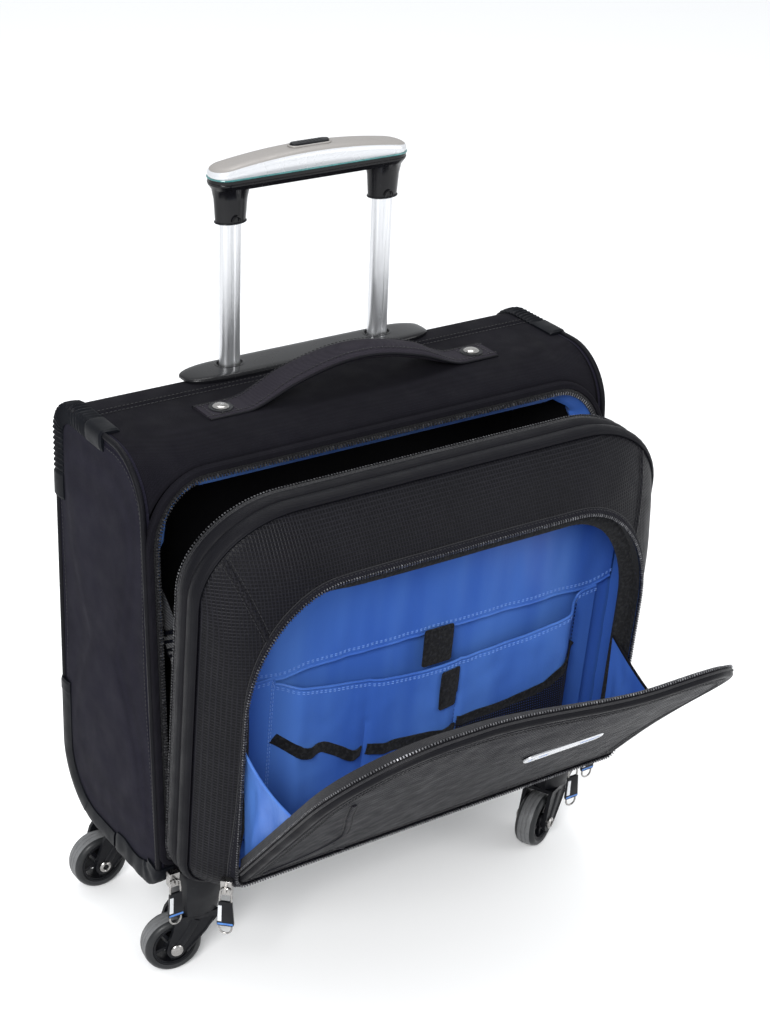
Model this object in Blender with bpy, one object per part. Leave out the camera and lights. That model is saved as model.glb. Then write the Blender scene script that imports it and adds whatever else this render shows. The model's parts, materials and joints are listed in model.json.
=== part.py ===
"""Rolling laptop case: a wheeled business case with a telescopic trolley, a front pod that
tilts out on its lower seam, and an organiser flap that folds down from the pod's face.

Metres, +Z up, with the front towards -Y and the trolley along the back. Everything is first
laid out from the back face (y = 0) and the floor (z = 0); the last step moves the whole case
so that its bounding box stands centred on the origin.
"""

import math

import bmesh
import bpy
from mathutils import Matrix, Vector

# Case body
CASE_HALF = 0.205  # half the width, over the side panels
PANEL = 0.005  # padded fabric over board
SEAM = 0.0004  # gap left between neighbouring pieces
CASE_TOP = 0.428
CASE_BOTTOM = 0.080
BACK_TOP_R = 0.025
BACK_BOTTOM_R = 0.055
FRONT_TOP_R = 0.045
FRONT_BOTTOM_R = 0.022
FRONT_LOW = (-0.158, 0.103)  # (y, z) on the front face, at the pod's seam
FRONT_HIGH = (-0.1405, 0.390)
FRONT_TOP_Z = 0.417  # top of the front opening's border
BORDER = 0.009  # width of the front border, with its half of the zip
OPENING_CORNER = (0.050, 0.058)
STRIP_HALF = CASE_HALF - PANEL - SEAM
TOP_ROLL = (-BACK_TOP_R, CASE_TOP - BACK_TOP_R)  # (y, z) centres of the back's two rolls
LOW_ROLL = (-BACK_BOTTOM_R, CASE_BOTTOM + BACK_BOTTOM_R)

# Trolley
TUBE_X = 0.067
TUBE_Y = -0.0150
TUBE_WALL = 0.0012
STAGE_GAP = 0.0004
INNER_TUBE = (0.0170, 0.0105)
MIDDLE_TUBE = tuple(s + 2 * (TUBE_WALL + STAGE_GAP) for s in INNER_TUBE)
OUTER_TUBE = tuple(s + 2 * (TUBE_WALL + STAGE_GAP) for s in MIDDLE_TUBE)
INNER_SPAN = (0.246, 0.563)
MIDDLE_SPAN = (0.128, 0.4235)
OUTER_SPAN = (0.126, 0.4215)
FOOT_SPAN = (0.100, 0.142)
BEZEL_HALF = 0.109
BEZEL_TOP = 0.4330

# Grip
GRIP_HALF = 0.085
GRIP_DEPTH = 0.026
SOCKET_END = 0.546
GRIP_UNDER = 0.572
GRIP_SPLIT = 0.581
GRIP_END_TOP = 0.588
GRIP_MID_TOP = 0.596
CHANNEL_FLOOR = 0.5735
YOKE = (0.5780, 0.5804)
BUTTON_HALF = (0.016, 0.0036)
BUTTON_TOP = 0.5985
ROD_R = 0.0018
ROD_LOW = 0.256

# Casters
AXIS_X = 0.171
FRONT_AXIS_Y = -0.147
REAR_AXIS_Y = -0.020
WHEEL_R = 0.0233
WHEEL_WIDTH = 0.018
TRAIL = 0.0196
HUB_R = 0.0172
AXLE_R = 0.0030
FORK_GAP = 0.0100  # from the wheel's mid-plane to a leg's inner face
LEG = 0.0032
CROWN_TOP = 0.0520
CROWN_LOW = 0.0484
STEM_R = 0.0050
STEM_TOP = 0.0640
HOUSING_TOP = 0.0950
HEADINGS = {  # where each wheel trails to, in degrees about +Z from +X
    "front_left": 172.0,
    "rear_left": 180.0,
    "front_right": 207.0,
    "rear_right": 159.0,
}

# Front pod, in its own frame: d forward from its back plane, h up from its bottom seam
POD_PIVOT = (-0.1595, 0.103)
POD_LEAN = 4.5  # degrees forward from upright, as it stands half open
POD_HALF = 0.203
POD_HEIGHT = 0.311
POD_DEPTH = 0.027
POD_WALL = 0.004
POD_TOP_CORNER = (0.078, 0.062)
POD_LOW_CORNER = 0.026
FACE_RAISE = 0.032  # how far the arch stands ahead of the pod's front edge
FACE_WALL = 0.003

# Arch opening and its flap
ARCH_HALF = 0.177
ARCH_LOW = 0.018
ARCH_TOP = 0.262
ARCH_CORNER = (0.075, 0.095)
FLAP_TILT = 36.0  # degrees out from the arch, as it hangs on its gussets
FLAP_THICK = 0.008
FLAP_CLEAR = 0.0015
BADGE = (0.036, 0.006, 0.0015)  # half length, half height, thickness
BADGE_AT = (0.040, 0.142)  # x and height on the flap

# Organiser
POCKET_HALF = 0.150
POCKET_D = (0.004, 0.020)
POCKET_H = (0.012, 0.150)
POCKET_SKIN = 0.002

# Laptop sleeve behind the pod
SLEEVE_HALF = 0.184
SLEEVE_DEPTH = 0.038
SLEEVE_H = (0.0125, 0.215)
SLEEVE_SKIN = 0.004

# Carry handle
HANDLE_Y = -0.081
HANDLE_WIDTH = 0.026
HANDLE_FOOT = 0.128
HANDLE_SPRING = 0.096
HANDLE_RISE = 0.030
RIVET_X = 0.112
RIVET_R = 0.0052

# Zip hardware
SLIDER = (0.0042, 0.0030, 0.0060)  # half width, half depth, half height
PULL_LENGTH = 0.0400
PULL_HALF = 0.0070
PULL_THICK = 0.0026
PULL_PIN_R = 0.0009
PIN_STEP = 0.0008  # from a slider's front to the bar of its pull
SEATS = {  # slider: x, d and h on the pod, then the tilt and turn that lay it on the face's slope
    "left": ((-0.1862, 0.0606, 0.0217), -POD_LEAN, -43.0),
    "right": ((0.1600, 0.0327, -0.0045), 65.0, 0.0),
}

MATERIALS = {  # colour, roughness, metallic
    "case_fabric": ((0.012, 0.012, 0.020), 0.85, 0.0),
    "pod_fabric": ((0.014, 0.014, 0.018), 0.60, 0.0),
    "lining_blue": ((0.020, 0.075, 0.400), 0.55, 0.0),
    "lining_dark": ((0.008, 0.008, 0.010), 0.80, 0.0),
    "guard_rubber": ((0.015, 0.018, 0.024), 0.50, 0.0),
    "gloss_plastic": ((0.006, 0.006, 0.008), 0.15, 0.0),
    "black_plastic": ((0.012, 0.013, 0.017), 0.42, 0.0),
    "aluminium_tube": ((0.700, 0.710, 0.730), 0.28, 1.0),
    "grip_silver": ((0.620, 0.620, 0.630), 0.30, 0.6),
    "steel": ((0.450, 0.450, 0.460), 0.30, 1.0),
    "tyre_grey": ((0.130, 0.130, 0.130), 0.55, 0.0),
    "badge_metal": ((0.550, 0.560, 0.600), 0.25, 0.9),
}


def clear_scene():
    for obj in list(bpy.data.objects):
        bpy.data.objects.remove(obj, do_unlink=True)


def material(slot):
    found = bpy.data.materials.get(slot)
    if found:
        return found
    colour, roughness, metallic = MATERIALS[slot]
    made = bpy.data.materials.new(slot)
    made.use_nodes = True
    shader = made.node_tree.nodes["Principled BSDF"]
    shader.inputs["Base Color"].default_value = (*colour, 1.0)
    shader.inputs["Roughness"].default_value = roughness
    shader.inputs["Metallic"].default_value = metallic
    made.diffuse_color = (*colour, 1.0)
    return made


# ---------------------------------------------------------------- outlines


def arc(centre, radius, start, end, steps):
    """Points of an arc in degrees; radius is one number, or two for an ellipse."""
    rx, ry = radius if isinstance(radius, tuple) else (radius, radius)
    turns = [math.radians(start + (end - start) * i / steps) for i in range(steps + 1)]
    return [(centre[0] + rx * math.cos(t), centre[1] + ry * math.sin(t)) for t in turns]


def arched_outline(half, low, high, top_corner, low_corner, steps=7):
    """A rectangle with round corners, counter-clockwise: elliptical above, circular below."""
    rx, ry = top_corner
    r = low_corner
    return (
        arc((half - r, low + r), r, -90, 0, steps)
        + arc((half - rx, high - ry), (rx, ry), 0, 90, steps)
        + arc((-half + rx, high - ry), (rx, ry), 90, 180, steps)
        + arc((-half + r, low + r), r, 180, 270, steps)
    )


def oval_outline(size, steps=6):
    """A tube section with half-round narrow ends."""
    r = size[1] / 2
    flat = size[0] / 2 - r
    return arc((flat, 0), r, -90, 90, steps) + arc((-flat, 0), r, 90, 270, steps)


def bar_outline(half, depth, turns=4, flats=8):
    """A long bar seen from above, with round ends; point i faces point -1 - i across its depth."""
    flat = half - depth
    ends = [math.radians(90 * (i + 0.5) / turns) for i in range(turns)]
    front = [(flat + depth * math.cos(t), -depth * math.sin(t)) for t in ends]
    front += [(flat - 2 * flat * i / flats, -depth) for i in range(flats + 1)]
    front += [(-flat - depth * math.cos(t), -depth * math.sin(t)) for t in reversed(ends)]
    return front + [(x, -y) for x, y in reversed(front)]


def front_y(z):
    """The case's front plane, which leans back."""
    slope = (FRONT_HIGH[0] - FRONT_LOW[0]) / (FRONT_HIGH[1] - FRONT_LOW[1])
    return FRONT_LOW[0] + (z - FRONT_LOW[1]) * slope


def side_profile(front_inset=0.0):
    """The case seen from its side, as (y, z), from the foot of the front up and over to the back."""
    low_z = FRONT_LOW[1] + 0.001
    shoulder = CASE_TOP - FRONT_TOP_R
    front_low = front_y(low_z) + front_inset
    front_high = front_y(shoulder) + front_inset
    r = FRONT_BOTTOM_R
    return (
        [(front_high, shoulder)]
        + arc((front_high + FRONT_TOP_R, shoulder), FRONT_TOP_R, 170, 90, 6)
        + arc(TOP_ROLL, BACK_TOP_R, 90, 0, 5)
        + arc(LOW_ROLL, BACK_BOTTOM_R, 0, -90, 8)
        + arc((front_low + r, CASE_BOTTOM + r), r, 270, 185, 5)
        + [(front_low, low_z)]
    )


# ---------------------------------------------------------------- solids


def add_object(name, mesh, slot, parent=None, smooth_angle=35.0):
    obj = bpy.data.objects.new(name, mesh)
    bpy.context.scene.collection.objects.link(obj)
    if slot:
        mesh.materials.clear()
        mesh.materials.append(material(slot))
    mesh.shade_smooth()
    mesh.set_sharp_from_angle(angle=math.radians(smooth_angle))
    obj.parent = parent
    return obj


def mesh_from(bm, name):
    bmesh.ops.recalc_face_normals(bm, faces=bm.faces)
    mesh = bpy.data.meshes.new(name)
    bm.to_mesh(mesh)
    bm.free()
    return mesh


def loft_mesh(name, loops, cyclic=False, strip_caps=False):
    """Skin through loops of equal length, joined round into a ring or capped at both ends.

    A strip cap joins each point to the one across from it, which suits an arched end.
    """
    bm = bmesh.new()
    rings = [[bm.verts.new(p) for p in loop] for loop in loops]
    count = len(rings[0])
    pairs = list(zip(rings, rings[1:]))
    if cyclic:
        pairs.append((rings[-1], rings[0]))
    for first, second in pairs:
        for i in range(count):
            j = (i + 1) % count
            bm.faces.new((first[i], first[j], second[j], second[i]))
    for ring in () if cyclic else (rings[0], rings[-1]):
        if strip_caps:
            for i in range(count // 2 - 1):
                bm.faces.new((ring[i], ring[i + 1], ring[count - 2 - i], ring[count - 1 - i]))
        else:
            bm.faces.new(ring)
    return mesh_from(bm, name)


def prism_mesh(name, outline, place, low, high):
    """An outline extruded from low to high; place(u, v, w) gives the point in space."""
    bm = bmesh.new()
    face = bm.faces.new([bm.verts.new(place(u, v, low)) for u, v in outline])
    shift = Vector(place(0, 0, high)) - Vector(place(0, 0, low))
    made = bmesh.ops.extrude_face_region(bm, geom=[face])
    moved = [v for v in made["geom"] if isinstance(v, bmesh.types.BMVert)]
    bmesh.ops.translate(bm, verts=moved, vec=shift)
    return mesh_from(bm, name)


def turned_mesh(name, profile, steps, axis="Y"):
    """A closed (radius, along) profile turned about an axis into a ring or a capped solid."""
    loops = []
    for i in range(steps):
        t = 2 * math.pi * i / steps
        if axis == "Y":
            loops.append([(r * math.cos(t), a, r * math.sin(t)) for r, a in profile])
        else:
            loops.append([(r * math.cos(t), r * math.sin(t), a) for r, a in profile])
    return loft_mesh(name, loops, cyclic=True)


def drum_mesh(name, radius, low, high, place, steps=16):
    return prism_mesh(name, arc((0, 0), radius, 0, 360 - 360 / steps, steps - 1), place, low, high)


def box_mesh(name, low, high):
    outline = [(low[0], low[1]), (high[0], low[1]), (high[0], high[1]), (low[0], high[1])]
    return prism_mesh(name, outline, lambda u, v, w: (u, v, w), low[2], high[2])


def baked(name, base, steps):
    """The mesh left after joining to or cutting from base each (operation, mesh) of steps."""
    body = add_object(name + "_blank", base, None)
    helpers = [body]
    for operation, mesh in steps:
        tool = add_object(name + "_tool", mesh, None)
        helpers.append(tool)
        modifier = body.modifiers.new(operation, "BOOLEAN")
        modifier.operation = operation
        modifier.solver = "EXACT"
        modifier.object = tool
    graph = bpy.context.evaluated_depsgraph_get()
    result = bpy.data.meshes.new_from_object(body.evaluated_get(graph))
    result.name = name
    for helper in helpers:
        bpy.data.objects.remove(helper, do_unlink=True)
    return result


def pivot(name, location, parent=None, rotation=(0.0, 0.0, 0.0)):
    empty = bpy.data.objects.new(name, None)
    bpy.context.scene.collection.objects.link(empty)
    empty.parent = parent
    empty.location = location
    empty.rotation_mode = "ZYX"
    empty.rotation_euler = [math.radians(a) for a in rotation]
    return empty


def at_yz(u, v, w):
    return (w, u, v)


def at_xz(u, v, w):
    return (u, w, v)


def at_xy(u, v, w):
    return (u, v, w)


# ---------------------------------------------------------------- case body


def make_side_panels(root):
    profile = side_profile(front_inset=PANEL + SEAM)
    for side, sign in (("left", -1), ("right", 1)):
        ends = sorted((sign * CASE_HALF, sign * (CASE_HALF - PANEL)))
        mesh = prism_mesh(f"{side}_side_panel", profile, at_yz, *ends)
        add_object(f"{side}_side_panel", mesh, "case_fabric", root)


def strip_mesh(name, outer, inner, half):
    """A band across the case between an outer and an inner (y, z) line."""
    return prism_mesh(name, outer + inner[::-1], at_yz, -half, half)


def make_back_panel(root):
    low = CASE_BOTTOM + BACK_BOTTOM_R + SEAM
    high = CASE_TOP - BACK_TOP_R - 3 * SEAM
    mesh = box_mesh("back_panel", (-STRIP_HALF, -PANEL, low), (STRIP_HALF, 0.0, high))
    add_object("back_panel", mesh, "case_fabric", root)


def make_base_panel(root):
    """The bottom strip, from the back's lower roll to the front's foot."""
    r = FRONT_BOTTOM_R
    low_z = FRONT_LOW[1]
    foot = front_y(low_z) + PANEL + SEAM
    nose = (foot + r, CASE_BOTTOM + r)
    outer = arc(LOW_ROLL, BACK_BOTTOM_R, 0, -90, 8) + arc(nose, r, 270, 180, 5)
    inner = arc(LOW_ROLL, BACK_BOTTOM_R - PANEL, 0, -90, 8) + arc(nose, r - PANEL, 270, 180, 5)
    mesh = strip_mesh("base_panel", outer, inner, STRIP_HALF)
    add_object("base_panel", mesh, "case_fabric", root)


def make_top_panel(root):
    """The top strip: it rolls over the back, and its front corners drop to the round opening."""
    front = front_y(FRONT_TOP_Z) + PANEL + SEAM
    line = [(y, z, 0.0) for y, z in arc(TOP_ROLL, BACK_TOP_R, 0, 90, 5)]
    steps = 6
    start = front + FRONT_TOP_R
    for i in range(steps + 1):
        t = math.radians(90 * i / steps)
        y = start - FRONT_TOP_R * math.sin(t)
        fall = 1 - math.cos(t)
        line.append((y, CASE_TOP - (CASE_TOP - FRONT_TOP_Z) * fall, fall))
    rx, rz = OPENING_CORNER
    across = [0.0] + [1 - (1 - i / 6) ** 1.6 for i in range(1, 7)]
    xs = [-STRIP_HALF + (rx + 0.012) * a for a in across]
    xs += [-x for x in reversed(xs)]
    bm = bmesh.new()
    grid = []
    for y, z, fall in line:
        row = []
        for x in xs:
            over = max(0.0, (abs(x) - (CASE_HALF - rx)) / rx)
            drop = rz * (1 - math.sqrt(max(0.0, 1 - over**2))) * fall
            row.append(bm.verts.new((x, y, z - drop)))
        grid.append(row)
    for first, second in zip(grid, grid[1:]):
        for i in range(len(xs) - 1):
            bm.faces.new((first[i], first[i + 1], second[i + 1], second[i]))
    mesh = mesh_from(bm, "top_panel")
    if mesh.polygons[0].normal.dot((0, 1, 0.1)) < 0:
        mesh.flip_normals()
    panel = add_object("top_panel", mesh, "case_fabric", root)
    thicken = panel.modifiers.new("Thickness", "SOLIDIFY")
    thicken.thickness = PANEL
    thicken.offset = -1.0
    thicken.use_even_offset = True
    for side in (-1, 1):
        slot = [(u + side * TUBE_X, v + TUBE_Y) for u, v in oval_outline(grown(OUTER_TUBE, SEAM))]
        mesh = prism_mesh("tube_slot", slot, at_xy, CASE_TOP - 0.03, CASE_TOP + 0.02)
        cutter = add_object(f"top_slot_{side}", mesh, None, root)
        cutter.hide_render = True
        cutter.display_type = "WIRE"
        cut = panel.modifiers.new("Slot", "BOOLEAN")
        cut.operation = "DIFFERENCE"
        cut.solver = "EXACT"
        cut.object = cutter


def grown(size, gap):
    return tuple(s + 2 * gap for s in size)


def make_front_frame(root):
    """The border of the front opening, which carries the case's half of the zip."""
    low = FRONT_LOW[1] + SEAM
    outer = arched_outline(CASE_HALF, low, FRONT_TOP_Z, OPENING_CORNER, 0.010)
    rx, rz = OPENING_CORNER
    inner = arched_outline(
        CASE_HALF - BORDER, low + BORDER, FRONT_TOP_Z - BORDER, (rx - BORDER, rz - BORDER), 0.005
    )
    loops = [
        [(x, front_y(z) + depth, z) for x, z in line]
        for line, depth in ((outer, 0), (inner, 0), (inner, PANEL), (outer, PANEL))
    ]
    add_object("front_frame", loft_mesh("front_frame", loops, cyclic=True), "case_fabric", root)


def make_back_lining(root):
    """The lining wall that hides the trolley tubes inside the case."""
    y = TUBE_Y - OUTER_TUBE[1] / 2 - SEAM
    low = (-STRIP_HALF, y - 0.002, FOOT_SPAN[1] + SEAM)
    high = (STRIP_HALF, y, CASE_TOP - PANEL - 0.004)
    add_object("back_lining", box_mesh("back_lining", low, high), "lining_dark", root)


def sweep_mesh(name, path, section, sign):
    """An L section carried along a (y, z) path; section points are (inwards x, outwards)."""
    loops = []
    for i, point in enumerate(path):
        before = path[max(i - 1, 0)]
        after = path[min(i + 1, len(path) - 1)]
        run = Vector((after[0] - before[0], after[1] - before[1])).normalized()
        out = Vector((-run.y, run.x))
        loops.append(
            [
                (sign * (CASE_HALF - inwards), point[0] + out.x * away, point[1] + out.y * away)
                for inwards, away in section
            ]
        )
    return loft_mesh(name, loops)


def make_guards(root):
    """Rubber guards wrapped over the edges between a side panel and the strip round the case."""
    proud, tuck = 0.0026, SEAM
    wrap = [
        (tuck + 0.012, tuck),
        (tuck + 0.012, tuck + proud * 0.5),
        (0.006, tuck + proud),
        (-0.0005, proud),
        (-proud, -0.001),
        (-proud, -0.006),
        (-tuck - proud * 0.5, -0.012),
        (-tuck, -0.012),
        (-tuck, tuck),
    ]
    deep = [(i, a if a > -0.007 else a - 0.008) for i, a in wrap]
    nose_y = front_y(FRONT_LOW[1]) + PANEL + SEAM
    nose = (nose_y + FRONT_BOTTOM_R, CASE_BOTTOM + FRONT_BOTTOM_R)
    upper = [(-0.078, CASE_TOP), (-0.052, CASE_TOP)] + arc(TOP_ROLL, BACK_TOP_R, 90, 0, 6)
    upper += [(0.0, 0.375), (0.0, 0.349)]
    rear = [(0.0, 0.188)] + arc(LOW_ROLL, BACK_BOTTOM_R, 0, -78, 9)
    front = [(-0.086, CASE_BOTTOM)] + arc(nose, FRONT_BOTTOM_R, -90, -172, 5)
    for side, sign in (("left", -1), ("right", 1)):
        for kind, path, section in (
            ("upper", upper, wrap),
            ("rear", rear, wrap),
            ("front", front, deep),
        ):
            name = f"{kind}_guard_{side}"
            add_object(name, sweep_mesh(name, path, section, sign), "guard_rubber", root)


def make_carry_handle(root):
    """A padded handle: two flat feet, riveted through the top, and an arch between them."""
    half = HANDLE_WIDTH / 2
    base = CASE_TOP + SEAM
    foot, pad = 0.0030, 0.0090
    stations = [(HANDLE_FOOT, 0.0, foot), (RIVET_X, 0.0, foot), (HANDLE_SPRING, 0.0, foot)]
    steps = 7
    for i in range(1, steps + 1):
        t = i / steps
        x = HANDLE_SPRING * (1 - t)
        rise = HANDLE_RISE - pad
        lift = rise * math.sin(t * math.pi / 2) ** 1.4
        stations.append((x, lift, foot + (pad - foot) * min(1, 2 * t)))
    stations += [(-x, z, t) for x, z, t in reversed(stations[:-1])]
    loops = []
    for x, z, thick in stations:
        lip = min(0.003, thick * 0.4)
        loops.append(
            [
                (x, HANDLE_Y - half + lip, base + z),
                (x, HANDLE_Y + half - lip, base + z),
                (x, HANDLE_Y + half, base + z + thick * 0.5),
                (x, HANDLE_Y + half - lip, base + z + thick),
                (x, HANDLE_Y - half + lip, base + z + thick),
                (x, HANDLE_Y - half, base + z + thick * 0.5),
            ]
        )
    add_object("carry_handle", loft_mesh("carry_handle", loops), "case_fabric", root)
    low = base + foot + SEAM
    dome = [(RIVET_R, low), (RIVET_R, low + 0.0010), (RIVET_R * 0.7, low + 0.0020)]
    for side, sign in (("left", -1), ("right", 1)):
        loops = [
            [(sign * RIVET_X + x, HANDLE_Y + y, z) for x, y in arc((0, 0), r, 0, 345, 15)]
            for r, z in dome
        ]
        name = f"handle_rivet_{side}"
        add_object(name, loft_mesh(name, loops), "steel", root)


# ---------------------------------------------------------------- trolley


def tube_mesh(name, size, span, x):
    outer = [(u + x, v + TUBE_Y) for u, v in oval_outline(size)]
    inner = [(u + x, v + TUBE_Y) for u, v in oval_outline(grown(size, -TUBE_WALL))]
    low, high = span
    loops = [
        [(u, v, low) for u, v in outer],
        [(u, v, high) for u, v in outer],
        [(u, v, high) for u, v in inner],
        [(u, v, low) for u, v in inner],
    ]
    return loft_mesh(name, loops, cyclic=True)


def make_tubes(root):
    """Three oval stages on each side; the outer one is fixed in the case."""
    for stage, size, span, slot in (
        ("outer", OUTER_TUBE, OUTER_SPAN, "steel"),
        ("middle", MIDDLE_TUBE, MIDDLE_SPAN, "aluminium_tube"),
        ("inner", INNER_TUBE, INNER_SPAN, "aluminium_tube"),
    ):
        for side, sign in (("left", -1), ("right", 1)):
            name = f"{stage}_tube_{side}"
            add_object(name, tube_mesh(name, size, span, sign * TUBE_X), slot, root)


def make_bezel(root):
    """The glossy plate on the top back edge that the tubes come out of, with thinned ends."""
    base = CASE_TOP + SEAM
    full = BEZEL_TOP
    edge = base + 0.0014
    rings = []
    for x, y_front, y_back, top in (
        (-BEZEL_HALF, -0.026, -0.018, edge),
        (-BEZEL_HALF + 0.022, -0.032, -0.0035, full - 0.001),
        (-TUBE_X + 0.02, -0.036, -0.0030, full),
        (TUBE_X - 0.02, -0.036, -0.0030, full),
        (BEZEL_HALF - 0.022, -0.032, -0.0035, full - 0.001),
        (BEZEL_HALF, -0.026, -0.018, edge),
    ):
        chamfer = (top - base) * 0.4
        rings.append(
            [
                (x, y_front, base),
                (x, y_back, base),
                (x, y_back, top - chamfer),
                (x, y_back - chamfer, top),
                (x, y_front + chamfer, top),
                (x, y_front, top - chamfer),
            ]
        )
    holes = []
    for side in (-1, 1):
        hole = [(u + side * TUBE_X, v + TUBE_Y) for u, v in oval_outline(grown(MIDDLE_TUBE, SEAM))]
        holes.append(("DIFFERENCE", prism_mesh("bezel_hole", hole, at_xy, base - 0.01, full + 0.01)))
    mesh = baked("trolley_bezel", loft_mesh("bezel_blank", rings), holes)
    add_object("trolley_bezel", mesh, "gloss_plastic", root)


def make_trolley_foot(root):
    """The moulded foot that both outer tubes stand in, shaped to the case's lower roll."""
    half = TUBE_X + 0.020
    low, high = FOOT_SPAN
    front = TUBE_Y - OUTER_TUBE[1] / 2 - 0.004
    blank = box_mesh("foot_blank", (-half, front, low), (half, -PANEL - SEAM, high))
    steps = []
    for side in (-1, 1):
        cup = [(u + side * TUBE_X, v + TUBE_Y) for u, v in oval_outline(grown(OUTER_TUBE, SEAM))]
        steps.append(("DIFFERENCE", prism_mesh("cup", cup, at_xy, OUTER_SPAN[0] - SEAM, high + 0.01)))
    fit = arc(LOW_ROLL, BACK_BOTTOM_R - PANEL - SEAM, 0, -90, 8)
    keep = [(fit[0][0], high + 0.02)] + fit + [(-0.12, fit[-1][1]), (-0.12, high + 0.02)]
    steps.append(("INTERSECT", prism_mesh("foot_keep", keep, at_yz, -half - 0.02, half + 0.02)))
    mesh = baked("trolley_foot", blank, steps)
    add_object("trolley_foot", mesh, "black_plastic", root)


def grip_loops(levels):
    """Loops round the grip with round ends; a level is (half length, half depth, z at x)."""
    return [
        [(u, v + TUBE_Y, height(u)) for u, v in bar_outline(half, depth)]
        for half, depth, height in levels
    ]


def make_grip(parent):
    """Black base with two sockets, silver arched cover, and the release button in the middle."""
    depth = GRIP_DEPTH / 2
    rx, ry = 0.0140, 0.0100
    base = loft_mesh(
        "grip_blank",
        grip_loops(
            [
                (GRIP_HALF - 0.003, depth - 0.0030, lambda x: GRIP_UNDER),
                (GRIP_HALF, depth - 0.0005, lambda x: GRIP_UNDER + 0.004),
                (GRIP_HALF, depth, lambda x: GRIP_SPLIT),
            ]
        ),
        strip_caps=True,
    )
    steps = []
    for side in (-1, 1):
        x = side * TUBE_X
        levels = (
            (rx - 0.0018, ry - 0.0018, SOCKET_END),
            (rx - 0.0005, ry - 0.0006, GRIP_UNDER - 0.008),
            (rx + 0.0015, ry + 0.0008, GRIP_UNDER + 0.001),
        )
        loops = [
            [(u + x, v + TUBE_Y, z) for u, v in arc((0, 0), (a, b), 0, 345, 23)]
            for a, b, z in levels
        ]
        steps.append(("UNION", loft_mesh("socket", loops)))
    for side in (-1, 1):
        x = side * TUBE_X
        bore = [(u + x, v + TUBE_Y) for u, v in oval_outline(grown(INNER_TUBE, SEAM))]
        top = INNER_SPAN[1] + SEAM
        steps.append(("DIFFERENCE", prism_mesh("bore", bore, at_xy, SOCKET_END - 0.01, top)))
        shaft = [(u + x, v + TUBE_Y) for u, v in arc((0, 0), ROD_R + 0.0009, 0, 330, 11)]
        steps.append(("DIFFERENCE", prism_mesh("shaft", shaft, at_xy, top - 0.002, GRIP_SPLIT + 0.01)))
    channel = box_mesh(
        "channel",
        (-TUBE_X - 0.006, TUBE_Y - 0.0045, CHANNEL_FLOOR),
        (TUBE_X + 0.006, TUBE_Y + 0.0045, GRIP_SPLIT + 0.01),
    )
    steps.append(("DIFFERENCE", channel))
    add_object("grip_base", baked("grip_base", base, steps), "black_plastic", parent)

    def arch(low_end, low_mid):
        return lambda x: low_end + (low_mid - low_end) * (1 - (x / GRIP_HALF) ** 2)

    split = GRIP_SPLIT + SEAM
    cover = loft_mesh(
        "cover_blank",
        grip_loops(
            [
                (GRIP_HALF, depth, lambda x: split),
                (GRIP_HALF, depth, arch(GRIP_END_TOP - 0.003, GRIP_MID_TOP - 0.004)),
                (GRIP_HALF - 0.002, depth - 0.0025, arch(GRIP_END_TOP - 0.001, GRIP_MID_TOP - 0.0012)),
                (GRIP_HALF - 0.006, depth - 0.0065, arch(GRIP_END_TOP, GRIP_MID_TOP)),
            ]
        ),
        strip_caps=True,
    )
    bx, by = BUTTON_HALF
    window = box_mesh(
        "window",
        (-bx - 0.0006, TUBE_Y - by - 0.0006, split - 0.01),
        (bx + 0.0006, TUBE_Y + by + 0.0006, GRIP_MID_TOP + 0.01),
    )
    mesh = baked("grip_cover", cover, [("DIFFERENCE", window)])
    add_object("grip_cover", mesh, "grip_silver", parent)


def make_button(parent):
    """The release button with its yoke, and the two rods that the yoke pushes."""
    bx, by = BUTTON_HALF
    plate = box_mesh("plate", (-bx, TUBE_Y - by, YOKE[0] + 0.001), (bx, TUBE_Y + by, BUTTON_TOP))
    reach, half = TUBE_X + 0.004, 0.003
    bar = box_mesh("bar", (-reach, TUBE_Y - half, YOKE[0]), (reach, TUBE_Y + half, YOKE[1]))
    mesh = baked("release_button", plate, [("UNION", bar)])
    add_object("release_button", mesh, "black_plastic", parent)
    for side, sign in (("left", -1), ("right", 1)):
        section = [(u + sign * TUBE_X, v + TUBE_Y) for u, v in arc((0, 0), ROD_R, 0, 330, 11)]
        name = f"push_rod_{side}"
        mesh = prism_mesh(name, section, at_xy, ROD_LOW, YOKE[0] - SEAM)
        add_object(name, mesh, "steel", parent)


# ---------------------------------------------------------------- casters


def housing_mesh(name, axis_y):
    """A tapering boot under a lower corner, trimmed to the case above it, bored for the stem."""
    centre = (AXIS_X, axis_y)
    levels = ((0.0155, 0.0155, CROWN_TOP + SEAM), (0.0160, 0.0165, 0.058), (0.0185, 0.0205, 0.070))
    levels += ((0.0195, 0.0225, 0.0800), (0.0195, 0.0225, HOUSING_TOP))
    loops = []
    for rx, ry, z in levels:
        square = []
        for i in range(24):
            t = 2 * math.pi * i / 24
            c, s = math.cos(t), math.sin(t)
            blend = 1 / max(abs(c), abs(s)) ** 0.45
            square.append((centre[0] + rx * c * blend, centre[1] + ry * s * blend, z))
        loops.append(square)
    outline = [(y, z) for y, z in side_profile()]
    case_block = prism_mesh("case_block", outline, at_yz, 0.05, 0.30)
    case_block.transform(Matrix.Translation((0, 0, -SEAM)))
    bore = drum_mesh("stem_bore", STEM_R + SEAM, CROWN_TOP - 0.002, STEM_TOP + 0.0006, at_xy)
    bore.transform(Matrix.Translation((*centre, 0)))
    cuts = [("DIFFERENCE", case_block), ("DIFFERENCE", bore)]
    return baked(name, loft_mesh("housing_blank", loops), cuts)


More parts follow.
